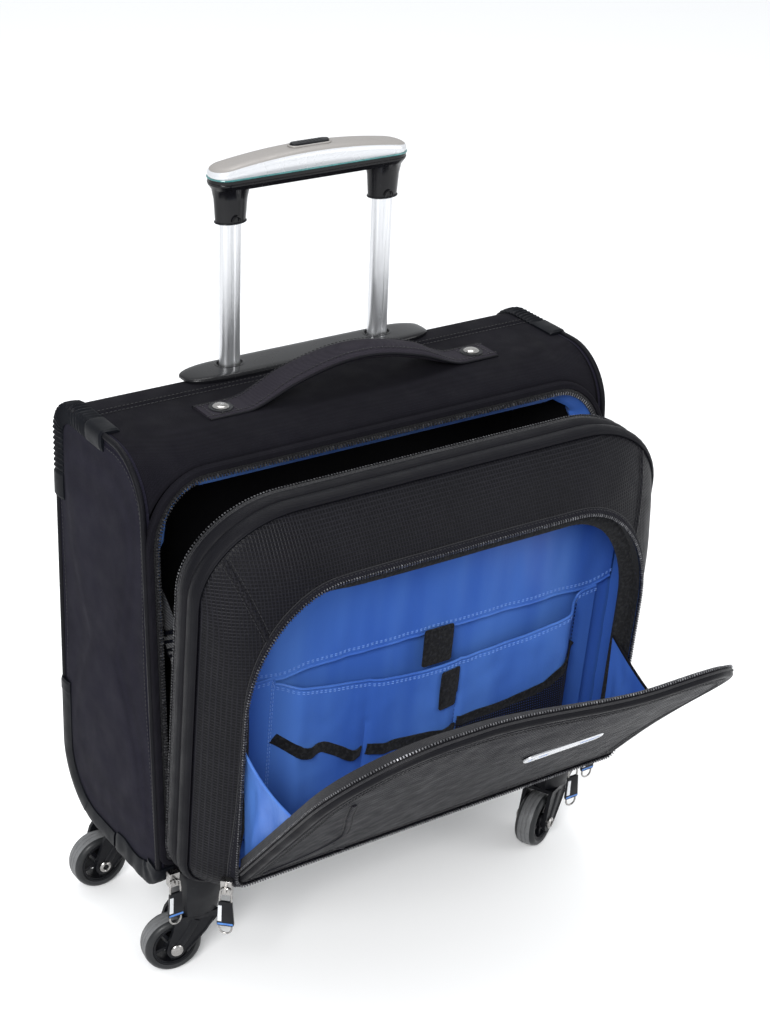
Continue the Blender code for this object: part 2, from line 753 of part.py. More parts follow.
def fork_mesh():
    """A fork about its swivel axis at x = 0, trailing to +X, with its axle and stem."""
    outline = (
        [(-0.0150, CROWN_TOP), (-0.0150, CROWN_LOW - 0.002)]
        + arc((TRAIL, WHEEL_R), 0.0078, 205, 375, 8)
        + [(0.0200, CROWN_LOW - 0.001), (0.0165, CROWN_TOP)]
    )
    width = FORK_GAP + LEG
    near = prism_mesh("leg", outline, at_xz, -width, -FORK_GAP)
    far = prism_mesh("leg", outline, at_xz, FORK_GAP, width)
    crown_line = arc((0, 0), 0.0155, 110, 250, 8) + [(0.0165, -width), (0.0165, width)]
    crown = prism_mesh("crown", crown_line, at_xy, CROWN_LOW, CROWN_TOP)
    stem = drum_mesh("stem", STEM_R, CROWN_LOW + 0.001, STEM_TOP, at_xy)

    def axle_place(u, v, w):
        return (u + TRAIL, w, v + WHEEL_R)

    end = width + 0.0012
    axle = drum_mesh("axle", AXLE_R, -end, end, axle_place)
    steps = [("UNION", far), ("UNION", crown), ("UNION", stem), ("UNION", axle)]
    return baked("fork", near, steps)


def tyre_mesh():
    half = WHEEL_WIDTH / 2
    inner = HUB_R + SEAM
    profile = [
        (inner, -half + 0.001),
        (WHEEL_R - 0.0035, -half),
        (WHEEL_R - 0.0010, -half + 0.0022),
        (WHEEL_R, -half + 0.0060),
        (WHEEL_R, half - 0.0060),
        (WHEEL_R - 0.0010, half - 0.0022),
        (WHEEL_R - 0.0035, half),
        (inner, half - 0.001),
    ]
    return turned_mesh("tyre", profile, 32)


def hub_mesh():
    """Rim, boss and five spokes."""
    rim_half = WHEEL_WIDTH / 2 - 0.0015
    boss_half = FORK_GAP - 0.0006
    bore = AXLE_R + 0.0004
    rim_in = HUB_R - 0.0022
    rim = [(rim_in, -rim_half), (HUB_R, -rim_half), (HUB_R, rim_half), (rim_in, rim_half)]
    boss = [(bore, -boss_half), (0.0060, -boss_half), (0.0060, boss_half), (bore, boss_half)]
    steps = [("UNION", turned_mesh("boss", boss, 20))]
    spokes = 5
    for i in range(spokes):
        spoke = box_mesh("spoke", (0.0050, -0.0055, -0.0014), (HUB_R - 0.0011, 0.0055, 0.0014))
        spoke.transform(Matrix.Rotation(2 * math.pi * i / spokes + 0.3, 4, "Y"))
        steps.append(("UNION", spoke))
    return baked("wheel_hub", turned_mesh("rim", rim, 30), steps)


def make_casters(root):
    fork, tyre, hub = fork_mesh(), tyre_mesh(), hub_mesh()
    housings = {
        "front": housing_mesh("housing_front", FRONT_AXIS_Y),
        "rear": housing_mesh("housing_rear", REAR_AXIS_Y),
    }
    for corner, heading in HEADINGS.items():
        end, side = corner.split("_")
        sign = -1 if side == "left" else 1
        shell = housings[end].copy()
        if sign < 0:
            shell.transform(Matrix.Scale(-1, 4, (1, 0, 0)))
            shell.flip_normals()
        add_object(f"caster_housing_{corner}", shell, "black_plastic", root)
        axis_y = FRONT_AXIS_Y if end == "front" else REAR_AXIS_Y
        swivel = pivot(f"swivel_{corner}", (sign * AXIS_X, axis_y, 0.0), root, (0, 0, heading))
        axle = pivot(f"axle_{corner}", (TRAIL, 0.0, WHEEL_R), swivel)
        add_object(f"caster_fork_{corner}", fork, "black_plastic", swivel)
        add_object(f"wheel_hub_{corner}", hub, "black_plastic", axle)
        add_object(f"wheel_tyre_{corner}", tyre, "tyre_grey", axle)


# ---------------------------------------------------------------- pod and flap


def pod_point(x, d, h):
    """A point of the pod's own frame: x across, d forward of its back plane, h up."""
    return (x, -d, h)


def pod_outline(inset, steps=7):
    rx, ry = POD_TOP_CORNER
    return arched_outline(
        POD_HALF - inset,
        inset,
        POD_HEIGHT - inset,
        (rx - inset, ry - inset),
        POD_LOW_CORNER - inset,
        steps,
    )


def arch_outline(inset, steps=7):
    rx, ry = ARCH_CORNER
    return arched_outline(
        ARCH_HALF - inset,
        ARCH_LOW + inset,
        ARCH_TOP - inset,
        (rx - inset, ry - inset),
        0.008 - inset * 0.5,
        steps,
    )


def ring_between(name, levels):
    loops = [[pod_point(x, d, h) for x, h in line] for line, d in levels]
    return loft_mesh(name, loops, cyclic=True)


def make_pod(pod):
    """The gusset round the pod, the raised face round its arch opening, and its back wall."""
    outer, inner = pod_outline(0.0), pod_outline(POD_WALL)
    gusset_levels = ((outer, 0.0), (outer, POD_DEPTH), (inner, POD_DEPTH), (inner, 0.0))
    mesh = ring_between("pod_gusset", gusset_levels)
    add_object("pod_gusset", mesh, "pod_fabric", pod)

    start = POD_DEPTH + SEAM
    crest = start + FACE_RAISE
    edge = pod_outline(0.0005)
    throat = arch_outline(0.0)
    middle = [((a[0] + b[0]) / 2, (a[1] + b[1]) / 2) for a, b in zip(edge, throat)]
    edge_in = pod_outline(FACE_WALL)
    middle_in = [((a[0] + b[0]) / 2, (a[1] + b[1]) / 2) for a, b in zip(edge_in, throat)]
    lift = FACE_RAISE * 0.62
    face_levels = (
        (edge, start),
        (middle, start + lift),
        (throat, crest),
        (throat, crest - FACE_WALL),
        (middle_in, start + lift - FACE_WALL),
        (edge_in, start),
    )
    mesh = ring_between("pod_face", face_levels)
    add_object("pod_face", mesh, "pod_fabric", pod)

    wall = pod_outline(POD_WALL + SEAM)
    mesh = prism_mesh("pod_back", wall, lambda u, v, w: pod_point(u, w, v), 0.0, POD_WALL - SEAM)
    add_object("pod_back", mesh, "lining_blue", pod)


def tray_mesh(name, half, low, high, depth, skin, back_d, forward):
    """A pocket open at its top: a front sheet with side and bottom walls, against a back plane."""

    def place(u, v, w):
        return pod_point(u, back_d + forward * w, v)

    outer = [(-half, high), (-half, low), (half, low), (half, high)]
    blank = prism_mesh(name + "_blank", outer, place, SEAM, depth)
    hollow = [
        (-half + skin, high + 0.01),
        (-half + skin, low + skin),
        (half - skin, low + skin),
        (half - skin, high + 0.01),
    ]
    room = prism_mesh(name + "_room", hollow, place, -0.01, depth - skin)
    return baked(name, blank, [("DIFFERENCE", room)])


def make_pockets(pod):
    low, high = POCKET_H
    depth = POCKET_D[1] - POCKET_D[0]
    mesh = tray_mesh(
        "organiser_pocket", POCKET_HALF, low, high, depth, POCKET_SKIN, POCKET_D[0], 1
    )
    add_object("organiser_pocket", mesh, "lining_blue", pod)
    low, high = SLEEVE_H
    mesh = tray_mesh("laptop_sleeve", SLEEVE_HALF, low, high, SLEEVE_DEPTH, SLEEVE_SKIN, 0.0, -1)
    add_object("laptop_sleeve", mesh, "lining_dark", pod)


def make_flap(pod):
    """The organiser's cover, hinged along the foot of the arch, with its badge."""
    crest = POD_DEPTH + SEAM + FACE_RAISE
    hinge = pivot("flap_hinge", pod_point(0.0, crest, ARCH_LOW + FLAP_CLEAR), pod, (FLAP_TILT, 0, 0))
    line = [(x, h - ARCH_LOW - FLAP_CLEAR) for x, h in arch_outline(FLAP_CLEAR)]
    slim = [(x * 0.985, h * 0.985 + 0.0015) for x, h in line]
    loops = [
        [(x, d, h) for x, h in outline]
        for outline, d in ((slim, FLAP_THICK), (line, FLAP_THICK - 0.002), (line, 0.002), (slim, 0.0))
    ]
    add_object("flap_panel", loft_mesh("flap_panel", loops), "pod_fabric", hinge)
    half, tall, thick = BADGE
    x, h = BADGE_AT
    outline = [(u + x, v + h) for u, v in oval_outline((2 * half, 2 * tall))]
    mesh = prism_mesh("flap_badge", outline, at_xz, -SEAM - thick, -SEAM)
    add_object("flap_badge", mesh, "badge_metal", hinge)


# ---------------------------------------------------------------- zip hardware


def end_ring_line(radius, top):
    end = -PULL_LENGTH + 0.0052
    return [(-radius, top)] + arc((0, end), radius, 180, 360, 8) + [(radius, top)]


def pull_mesh():
    """A pull that hangs from the bar at its origin: bail, moulded body and end ring."""
    wire = 0.0007  # half the thickness of the bail and the end ring
    top, low = 0.0006, -0.0125
    bail_line = [(-0.0046, low), (0.0046, low), (0.0046, top - 0.0018), (0.0028, top)]
    bail_line += [(-0.0028, top), (-0.0046, top - 0.0018)]
    bail = prism_mesh("bail", bail_line, at_xz, -wire, wire)
    eye = prism_mesh("eye", arc((0, -0.0055), (0.0032, 0.0049), 0, 330, 11), at_xz, -0.01, 0.01)
    half, waist = PULL_HALF, PULL_HALF - 0.0010
    body_line = [(-waist, -0.0325), (waist, -0.0325), (half, -0.0310), (waist, -0.0115)]
    body_line += [(-waist, -0.0115), (-half, -0.0310)]
    body = prism_mesh("body", body_line, at_xz, -PULL_THICK / 2, PULL_THICK / 2)
    hollow_ring = baked(
        "hollow_ring",
        prism_mesh("ring", end_ring_line(0.0052, -0.0318), at_xz, -wire, wire),
        [("DIFFERENCE", prism_mesh("room", end_ring_line(0.0037, -0.0330), at_xz, -0.01, 0.01))],
    )
    return baked("zip_pull", bail, [("DIFFERENCE", eye), ("UNION", body), ("UNION", hollow_ring)])


def slider_mesh():
    """A slider body with the bridge that the pull's bail runs on."""
    a, b, c = SLIDER
    block = box_mesh("block", (-a, 0.0, -c), (a, 2 * b, c))
    bridge = box_mesh("bridge", (-PULL_PIN_R, -0.0034, -0.0024), (PULL_PIN_R, 0.001, 0.0024))
    hole = box_mesh("hole", (-0.01, -0.0020, -0.0012), (0.01, 0.0004, 0.0012))
    return baked("zip_slider", block, [("UNION", bridge), ("DIFFERENCE", hole)])


def make_zip_hardware(root, pod):
    """Sliders parked at the open ends of both zips, with their pulls hanging from them."""
    slider, pull = slider_mesh(), pull_mesh()
    main_z = 0.0955
    main_y = front_y(main_z) - 2 * SLIDER[1] - SEAM
    for side, sign in (("left", -1), ("right", 1)):
        place, tilt, turn = SEATS[side]
        for kind, parent, at, lie in (
            ("main", root, (sign * (CASE_HALF - 0.0075), main_y, main_z), (0.0, 0.0, 0.0)),
            ("flap", pod, pod_point(*place), (tilt, 0.0, turn)),
        ):
            seat = pivot(f"{kind}_slider_seat_{side}", at, parent, lie)
            add_object(f"{kind}_slider_{side}", slider, "steel", seat)
            lean = POD_LEAN if kind == "flap" else 0.0
            hang = pivot(f"{kind}_pull_pin_{side}", (0.0, -PIN_STEP, 0.0), seat, (-lie[0] - lean, 0, 0))
            add_object(f"{kind}_pull_{side}", pull, "steel", hang)


# ---------------------------------------------------------------- assembly


def stand_on_origin(root):
    """Moves the case so that its bounding box's bottom centre is the origin."""
    bpy.context.view_layer.update()
    graph = bpy.context.evaluated_depsgraph_get()
    points = []
    for obj in bpy.context.scene.objects:
        if obj.type == "MESH" and not obj.hide_render:
            shape = obj.evaluated_get(graph)
            points += [shape.matrix_world @ v.co for v in shape.data.vertices]
    low = [min(p[i] for p in points) for i in range(3)]
    high = [max(p[i] for p in points) for i in range(3)]
    root.location = (-(low[0] + high[0]) / 2, -(low[1] + high[1]) / 2, -low[2])
    bpy.context.view_layer.update()


def main():
    clear_scene()
    root = pivot("case", (0.0, 0.0, 0.0))
    make_side_panels(root)
    make_back_panel(root)
    make_base_panel(root)
    make_top_panel(root)
    make_front_frame(root)
    make_back_lining(root)
    make_guards(root)
    make_carry_handle(root)
    make_tubes(root)
    make_bezel(root)
    make_trolley_foot(root)
    make_grip(root)
    make_button(root)
    make_casters(root)
    pod = pivot("pod_hinge", (0.0, *POD_PIVOT), root, (POD_LEAN, 0, 0))
    make_pod(pod)
    make_pockets(pod)
    make_flap(pod)
    make_zip_hardware(root, pod)
    stand_on_origin(root)


main()
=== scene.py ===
"""Looks for the rolling laptop case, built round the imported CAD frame. Metres, row frame."""

import json
import math

import bmesh
import bpy
import numpy as np
from mathutils import Matrix, Vector, noise


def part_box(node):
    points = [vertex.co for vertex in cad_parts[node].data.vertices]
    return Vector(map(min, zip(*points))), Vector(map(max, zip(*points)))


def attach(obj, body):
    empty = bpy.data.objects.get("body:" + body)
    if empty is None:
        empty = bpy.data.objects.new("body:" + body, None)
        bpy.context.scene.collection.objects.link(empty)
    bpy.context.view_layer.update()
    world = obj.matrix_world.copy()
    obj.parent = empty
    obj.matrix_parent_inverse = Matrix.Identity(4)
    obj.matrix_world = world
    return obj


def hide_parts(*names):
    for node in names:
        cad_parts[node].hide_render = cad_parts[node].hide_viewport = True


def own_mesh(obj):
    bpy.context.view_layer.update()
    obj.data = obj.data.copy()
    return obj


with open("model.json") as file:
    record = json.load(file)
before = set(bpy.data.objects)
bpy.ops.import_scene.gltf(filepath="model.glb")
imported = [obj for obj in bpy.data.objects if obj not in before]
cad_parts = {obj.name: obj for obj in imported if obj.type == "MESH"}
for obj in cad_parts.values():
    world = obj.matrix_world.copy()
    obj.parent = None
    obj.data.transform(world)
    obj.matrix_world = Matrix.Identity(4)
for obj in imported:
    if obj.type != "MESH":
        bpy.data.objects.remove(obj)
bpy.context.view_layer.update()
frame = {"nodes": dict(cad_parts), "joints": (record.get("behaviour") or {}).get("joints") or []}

JOINTS = {j["name"]: j for j in frame["joints"]}

# Measures of the part, in its layout frame: back face at y = 0, floor at z = 0
CASE_HALF, PANEL, SEAM = 0.205, 0.005, 0.0004
STRIP_HALF = CASE_HALF - PANEL - SEAM
CASE_TOP, CASE_BOTTOM = 0.428, 0.080
BACK_TOP_R, BACK_BOTTOM_R, FRONT_TOP_R, FRONT_BOTTOM_R = 0.025, 0.055, 0.045, 0.022
FRONT_LOW, FRONT_SLOPE, FRONT_TOP_Z = (-0.158, 0.103), 0.0175 / 0.287, 0.417
OPENING_CORNER = (0.050, 0.058)
TOP_ROLL = (-BACK_TOP_R, CASE_TOP - BACK_TOP_R)
LOW_ROLL = (-BACK_BOTTOM_R, CASE_BOTTOM + BACK_BOTTOM_R)
TUBE_X, TUBE_Y = 0.067, -0.015
POD_HALF, POD_HEIGHT = 0.203, 0.311
CREST = 0.0594  # how far the arch stands ahead of the pod's back plane
ARCH_HALF, ARCH_LOW, ARCH_TOP, ARCH_CORNER = 0.177, 0.018, 0.262, (0.075, 0.095)
FORK_OUT, TRAIL, WHEEL_R = 0.0132, 0.0196, 0.0233
CORNERS = ("front_left", "rear_left", "front_right", "rear_right")
SIDES = (("left", -1), ("right", 1))


def row_frame(location, turn=0.0, axis="X"):
    return Matrix.Translation(location) @ Matrix.Rotation(math.radians(turn), 4, axis)


CASE = row_frame(
    (
        (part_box("left_side_panel")[0].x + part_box("right_side_panel")[1].x) / 2,
        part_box("back_panel")[1].y,
        0.0,
    )
)
POD = row_frame(JOINTS["pod_hinge"]["pos_m"], 4.5)
FLAP = row_frame(JOINTS["flap_hinge"]["pos_m"], 40.5)
HERE = Matrix.Identity(4)


# ---------------------------------------------------------------- outlines and paths


def arc(centre, radius, start, end, steps):
    rx, ry = radius if isinstance(radius, tuple) else (radius, radius)
    turns = np.radians(np.linspace(start, end, steps + 1))
    return [(centre[0] + rx * math.cos(t), centre[1] + ry * math.sin(t)) for t in turns]


def arched(half, low, high, top_corner, low_corner, steps=14):
    """A rectangle with round corners, counter-clockwise: elliptical above, circular below."""
    rx, ry = top_corner
    r = low_corner
    return np.array(
        arc((half - r, low + r), r, -90, 0, steps)
        + arc((half - rx, high - ry), (rx, ry), 0, 90, steps)
        + arc((-half + rx, high - ry), (rx, ry), 90, 180, steps)
        + arc((-half + r, low + r), r, 180, 270, steps)
    )


def oval(size, steps=10, groove=0.0):
    """A tube section with half-round narrow ends, and a groove down the middle of each flat."""
    r = size[1] / 2
    flat = size[0] / 2 - r
    dip = [(0.0018, r), (0.0010, r - groove), (-0.0010, r - groove), (-0.0018, r)] if groove else []
    low = [(-x, -y) for x, y in dip]
    return arc((flat, 0), r, -90, 90, steps) + dip + arc((-flat, 0), r, 90, 270, steps) + low


def resample(points, step, closed=False):
    """The points of a line spaced evenly, about step apart."""
    line = np.array(points, float)
    if closed:
        line = np.vstack([line, line[:1]])
    run = np.r_[0, np.cumsum(np.linalg.norm(np.diff(line, axis=0), axis=1))]
    count = max(2, round(run[-1] / step))
    at = np.linspace(0, run[-1], count + 1)[: count if closed else None]
    return np.stack([np.interp(at, run, line[:, k]) for k in range(line.shape[1])], 1)


def tangents(path, closed):
    if closed:
        run = np.roll(path, -1, 0) - np.roll(path, 1, 0)
    else:
        run = np.gradient(path, axis=0)
    return run / np.maximum(np.linalg.norm(run, axis=1, keepdims=True), 1e-12)


def inset(loop, by):
    """A counter-clockwise (u, v) loop moved inwards by a distance."""
    run = tangents(loop, True)
    return loop + np.stack([-run[:, 1], run[:, 0]], 1) * by


def front_y(z):
    return FRONT_LOW[0] + (z - FRONT_LOW[1]) * FRONT_SLOPE


def side_profile(front_inset=0.0, fine=2):
    """The case seen from its side, as (y, z), from the front's top over to the back and round."""
    low_z, shoulder = FRONT_LOW[1] + 0.001, CASE_TOP - FRONT_TOP_R
    low, high = front_y(low_z) + front_inset, front_y(shoulder) + front_inset
    r = FRONT_BOTTOM_R
    return (
        [(high, shoulder)]
        + arc((high + FRONT_TOP_R, shoulder), FRONT_TOP_R, 170, 90, 6 * fine)
        + arc(TOP_ROLL, BACK_TOP_R, 90, 0, 5 * fine)
        + arc(LOW_ROLL, BACK_BOTTOM_R, 0, -90, 8 * fine)
        + arc((low + r, CASE_BOTTOM + r), r, 270, 185, 5 * fine)
        + [(low, low_z)]
    )


def case_front(loop, deep=0.0):
    """(x, z) points laid on the case's front plane, deep metres behind it."""
    return [(x, front_y(z) + deep, z) for x, z in loop]


def opening(by, steps=14):
    rx, rz = OPENING_CORNER
    low = FRONT_LOW[1] + SEAM
    return arched(
        CASE_HALF - by, low + by, FRONT_TOP_Z - by, (rx - by, rz - by), max(0.004, 0.010 - by), steps
    )


def pod_line(by, steps=14):
    rx, ry = 0.078 - by, 0.062 - by
    return arched(POD_HALF - by, by, POD_HEIGHT - by, (rx, ry), 0.026 - by, steps)


def arch_line(by, steps=14):
    rx, ry = ARCH_CORNER
    corner = (rx - by, ry - by)
    return arched(ARCH_HALF - by, ARCH_LOW + by, ARCH_TOP - by, corner, 0.008 - by / 2, steps)


def on_pod(loop, d):
    return [(x, -d, h) for x, h in loop]


def waves(x, y, scale, seed=0.0):
    return noise.noise(Vector((x * scale, y * scale, seed)))


# ---------------------------------------------------------------- shapes


class Shape:
    """Points and faces gathered for one mesh, with a material number for each face."""

    def __init__(self):
        self.points, self.faces, self.looks = [], [], []

    def add(self, points, faces, look=0):
        base = len(self.points)
        self.points.extend(tuple(float(c) for c in p) for p in points)
        self.faces.extend(tuple(base + i for i in face) for face in faces)
        self.looks.extend([look] * len(faces))
        return self

    def loft(self, loops, ring=False, closed=True, caps=True, look=0, looks=None):
        """Skin through loops of equal length; ring joins the last to the first."""
        n, rows = len(loops[0]), len(loops)
        points = [p for loop in loops for p in loop]
        for r in range(rows if ring else rows - 1):
            a, b = r * n, (r + 1) % rows * n
            faces = [
                (a + i, a + (i + 1) % n, b + (i + 1) % n, b + i) for i in range(n if closed else n - 1)
            ]
            self.faces.extend(tuple(len(self.points) + i for i in f) for f in faces)
            self.looks.extend([looks[r] if looks else look] * len(faces))
        ends = []
        if caps and closed and not ring:
            ends = [tuple(range(n))[::-1], tuple(range((rows - 1) * n, rows * n))]
        base = len(self.points)
        self.points.extend(tuple(float(c) for c in p) for p in points)
        self.faces.extend(tuple(base + i for i in f) for f in ends)
        self.looks.extend([looks[0] if looks else look, looks[-1] if looks else look][: len(ends)])
        return self

    def sweep(self, path, section, up, closed=False, look=0, scale=None):
        """A closed (side, up) section carried along a path; up is a vector or one for each point."""
        path = np.array(path, float)
        run = tangents(path, closed)
        up = np.broadcast_to(np.array(up, float), path.shape)
        side = np.cross(run, up)
        side /= np.maximum(np.linalg.norm(side, axis=1, keepdims=True), 1e-12)
        over = np.cross(side, run)
        grow = np.ones(len(path)) if scale is None else np.array(scale)
        loops = [
            [p + k * (a * s + b * o) for a, b in section]
            for p, s, o, k in zip(path, side, over, grow)
        ]
        return self.loft(loops, ring=closed, look=look)

    def tube(self, path, radius, up=(0, 0, 1), sides=8, closed=False, look=0, flat=1.0):
        section = arc((0, 0), (radius, radius * flat), 0, 360 - 360 / sides, sides - 1)
        return self.sweep(path, section, up, closed, look)

    def blocks(self, path, up, step, size, closed=False, look=0, off=(0, 0)):
        """Small rounded blocks along a path, such as zip teeth or stitches: size is (along, across, high)."""
        line = resample(path, step, closed)
        run = tangents(line, closed)
        up = np.array(up, float)
        across = np.cross(run, up)
        across /= np.maximum(np.linalg.norm(across, axis=1, keepdims=True), 1e-12)
        over = np.cross(across, run)
        a, b, c = (s / 2 for s in size)
        corners = [(-1, -1), (1, -1), (1, 1), (-1, 1)]
        faces = [(0, 1, 2, 3), (7, 6, 5, 4)] + [(i, i + 4, (i + 1) % 4 + 4, (i + 1) % 4) for i in range(4)]
        for p, t, s, o in zip(line, run, across, over):
            p = p + s * off[0] + o * off[1]
            low = [p + t * a * i + s * b * j - o * c for i, j in corners]
            high = [p + t * a * i * 0.7 + s * b * j * 0.8 + o * c for i, j in corners]
            self.add(low + high, faces, look)
        return self

    def grid(self, rows, look=0):
        n = len(rows[0])
        points = [p for row in rows for p in row]
        faces = [
            (r * n + i, r * n + i + 1, (r + 1) * n + i + 1, (r + 1) * n + i)
            for r in range(len(rows) - 1)
            for i in range(n - 1)
        ]
        return self.add(points, faces, look)

    def turned(self, profile, steps, place, look=0):
        """A closed (radius, along) profile turned about an axis; place(a, b, along) gives the point."""
        loops = []
        for t in np.linspace(0, 2 * math.pi, steps, endpoint=False):
            loops.append([place(r * math.cos(t), r * math.sin(t), a) for r, a in profile])
        return self.loft(loops, ring=True, look=look)


def finish_mesh(mesh, finishes, angle):
    mesh.materials.clear()
    for finish in finishes:
        mesh.materials.append(finish)
    bm = bmesh.new()
    bm.from_mesh(mesh)
    bmesh.ops.recalc_face_normals(bm, faces=bm.faces)
    bm.to_mesh(mesh)
    bm.free()
    mesh.shade_smooth()
    mesh.set_sharp_from_angle(angle=math.radians(angle))


def settle(obj, matrix, body, stands_for):
    bpy.context.scene.collection.objects.link(obj)
    obj.matrix_world = matrix
    if stands_for:
        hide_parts(*stands_for)
    if body:
        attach(obj, body)
    return obj


def piece(name, shape, matrix, body, finishes, stands_for=(), angle=40):
    mesh = bpy.data.meshes.new(name)
    mesh.from_pydata(shape.points, [], shape.faces)
    finish_mesh(mesh, finishes, angle)
    mesh.polygons.foreach_set("material_index", shape.looks)
    mesh.update()
    return settle(bpy.data.objects.new(name, mesh), matrix, body, stands_for)


def refined(node, body, finish, bevel=0.0, angle=35, name=None):
    """A smooth copy of a CAD node with softened edges, which stands for it."""
    mesh = frame["nodes"][node].data.copy()
    mesh.name = name or node + "_fine"
    bm = bmesh.new()
    bm.from_mesh(mesh)
    bmesh.ops.remove_doubles(bm, verts=bm.verts, dist=1e-5)
    bmesh.ops.dissolve_limit(bm, angle_limit=math.radians(2), verts=bm.verts, edges=bm.edges)
    bm.to_mesh(mesh)
    bm.free()
    finish_mesh(mesh, [finish], angle)
    obj = bpy.data.objects.new(mesh.name, mesh)
    if bevel:
        soften = obj.modifiers.new("Edges", "BEVEL")
        soften.width = bevel
        soften.segments = 2
        soften.limit_method = "ANGLE"
        soften.angle_limit = math.radians(angle)
        soften.harden_normals = False
    return settle(obj, HERE, body, (node,))


# ---------------------------------------------------------------- finishes


class Finish:
    """A node-built material; its methods add nodes and give back their output sockets."""

    def __init__(self, name, colour, roughness, **sockets):
        self.material = bpy.data.materials.new(name)
        self.material.use_nodes = True
        self.tree = self.material.node_tree
        self.shader = self.tree.nodes["Principled BSDF"]
        self.colour = colour
        self.shader.inputs["Base Color"].default_value = (*colour, 1.0)
        self.shader.inputs["Roughness"].default_value = roughness
        for key, value in sockets.items():
            self.shader.inputs[key.replace("_", " ")].default_value = value
        self.at = self.node("TexCoord", out="Object")
        self.x, self.y, self.z = (self.node("SeparateXYZ", {0: self.at}, out=k) for k in "XYZ")
        self.normal = None

    def node(self, kind, inputs=None, out=0, **settings):
        made = self.tree.nodes.new("ShaderNode" + kind)
        for key, value in settings.items():
            setattr(made, key, value)
        for key, value in (inputs or {}).items():
            if isinstance(value, bpy.types.NodeSocket):
                self.tree.links.new(value, made.inputs[key])
            else:
                made.inputs[key].default_value = value
        return made.outputs[out]

    def math(self, operation, a, b=0.0):
        return self.node("Math", {0: a, 1: b}, operation=operation)

    def noise(self, scale, stretch=(1, 1, 1), detail=2.0):
        at = self.node("Mapping", {"Vector": self.at, "Scale": stretch})
        return self.node("TexNoise", {"Vector": at, "Scale": scale, "Detail": detail})

    def span(self, value, low, high, to_low, to_high):
        names = {"Value": value, "From Min": low, "From Max": high, "To Min": to_low, "To Max": to_high}
        return self.node("MapRange", names)

    def tint(self, factor, colour):
        """Mixes another colour over what the shader has so far."""
        have = self.shader.inputs["Base Color"]
        base = have.links[0].from_socket if have.links else (*self.colour, 1.0)
        made = self.tree.nodes.new("ShaderNodeMix")
        made.data_type = "RGBA"
        for key, value in ((0, factor), (6, base), (7, (*colour, 1.0))):
            if isinstance(value, bpy.types.NodeSocket):
                self.tree.links.new(value, made.inputs[key])
            else:
                made.inputs[key].default_value = value
        self.tree.links.new(made.outputs[2], have)
        return self

    def rough(self, value, low, high):
        self.tree.links.new(self.span(value, 0.3, 0.7, low, high), self.shader.inputs["Roughness"])
        return self

    def bump(self, height, distance, strength=1.0):
        names = {"Height": height, "Distance": distance, "Strength": strength}
        if self.normal:
            names["Normal"] = self.normal
        self.normal = self.node("Bump", names)
        self.tree.links.new(self.normal, self.shader.inputs["Normal"])
        return self

    def wave(self, along, period):
        """A sine from 0 to 1 along a coordinate."""
        turn = self.math("MULTIPLY", along, 2 * math.pi / period)
        return self.math("MULTIPLY_ADD", self.math("SINE", turn), 0.5)

    def weave(self, period):
        """A plain weave that works on any face direction, from 0 to 1."""
        both = self.math("ADD", self.wave(self.x, period), self.wave(self.z, period))
        return self.math("MULTIPLY", self.math("ADD", both, self.wave(self.y, period)), 1 / 3)

    def ridge(self, along, period, power=8.0):
        """Thin raised lines, one for each period."""
        return self.math("POWER", self.wave(along, period), power)


def fabric(name, colour, light, period, roughness=0.85, sheen=0.01, blotch=0.3, fuzz=0.0002, gloss=0.08):
    """Matt woven cloth: threads, a few lighter slubs, and a soft change of tone."""
    made = Finish(
        name, colour, roughness, Sheen_Weight=sheen, Sheen_Roughness=0.45, Specular_IOR_Level=gloss
    )
    threads = made.weave(period)
    slubs = made.noise(900, (1, 1, 1), 3.0)
    made.tint(made.span(threads, 0.2, 0.9, 0.0, 0.75), light)
    made.tint(made.span(slubs, 0.5, 0.8, 0.0, blotch), tuple(2.0 * c for c in light))
    made.tint(made.span(made.noise(14), 0.35, 0.75, 0.0, 0.30), tuple(0.55 * c for c in colour))
    made.rough(made.noise(60), roughness - 0.08, roughness + 0.08)
    made.bump(threads, fuzz, 0.7).bump(slubs, fuzz * 0.8, 0.5).bump(made.noise(45), 0.0006, 0.35)
    return made


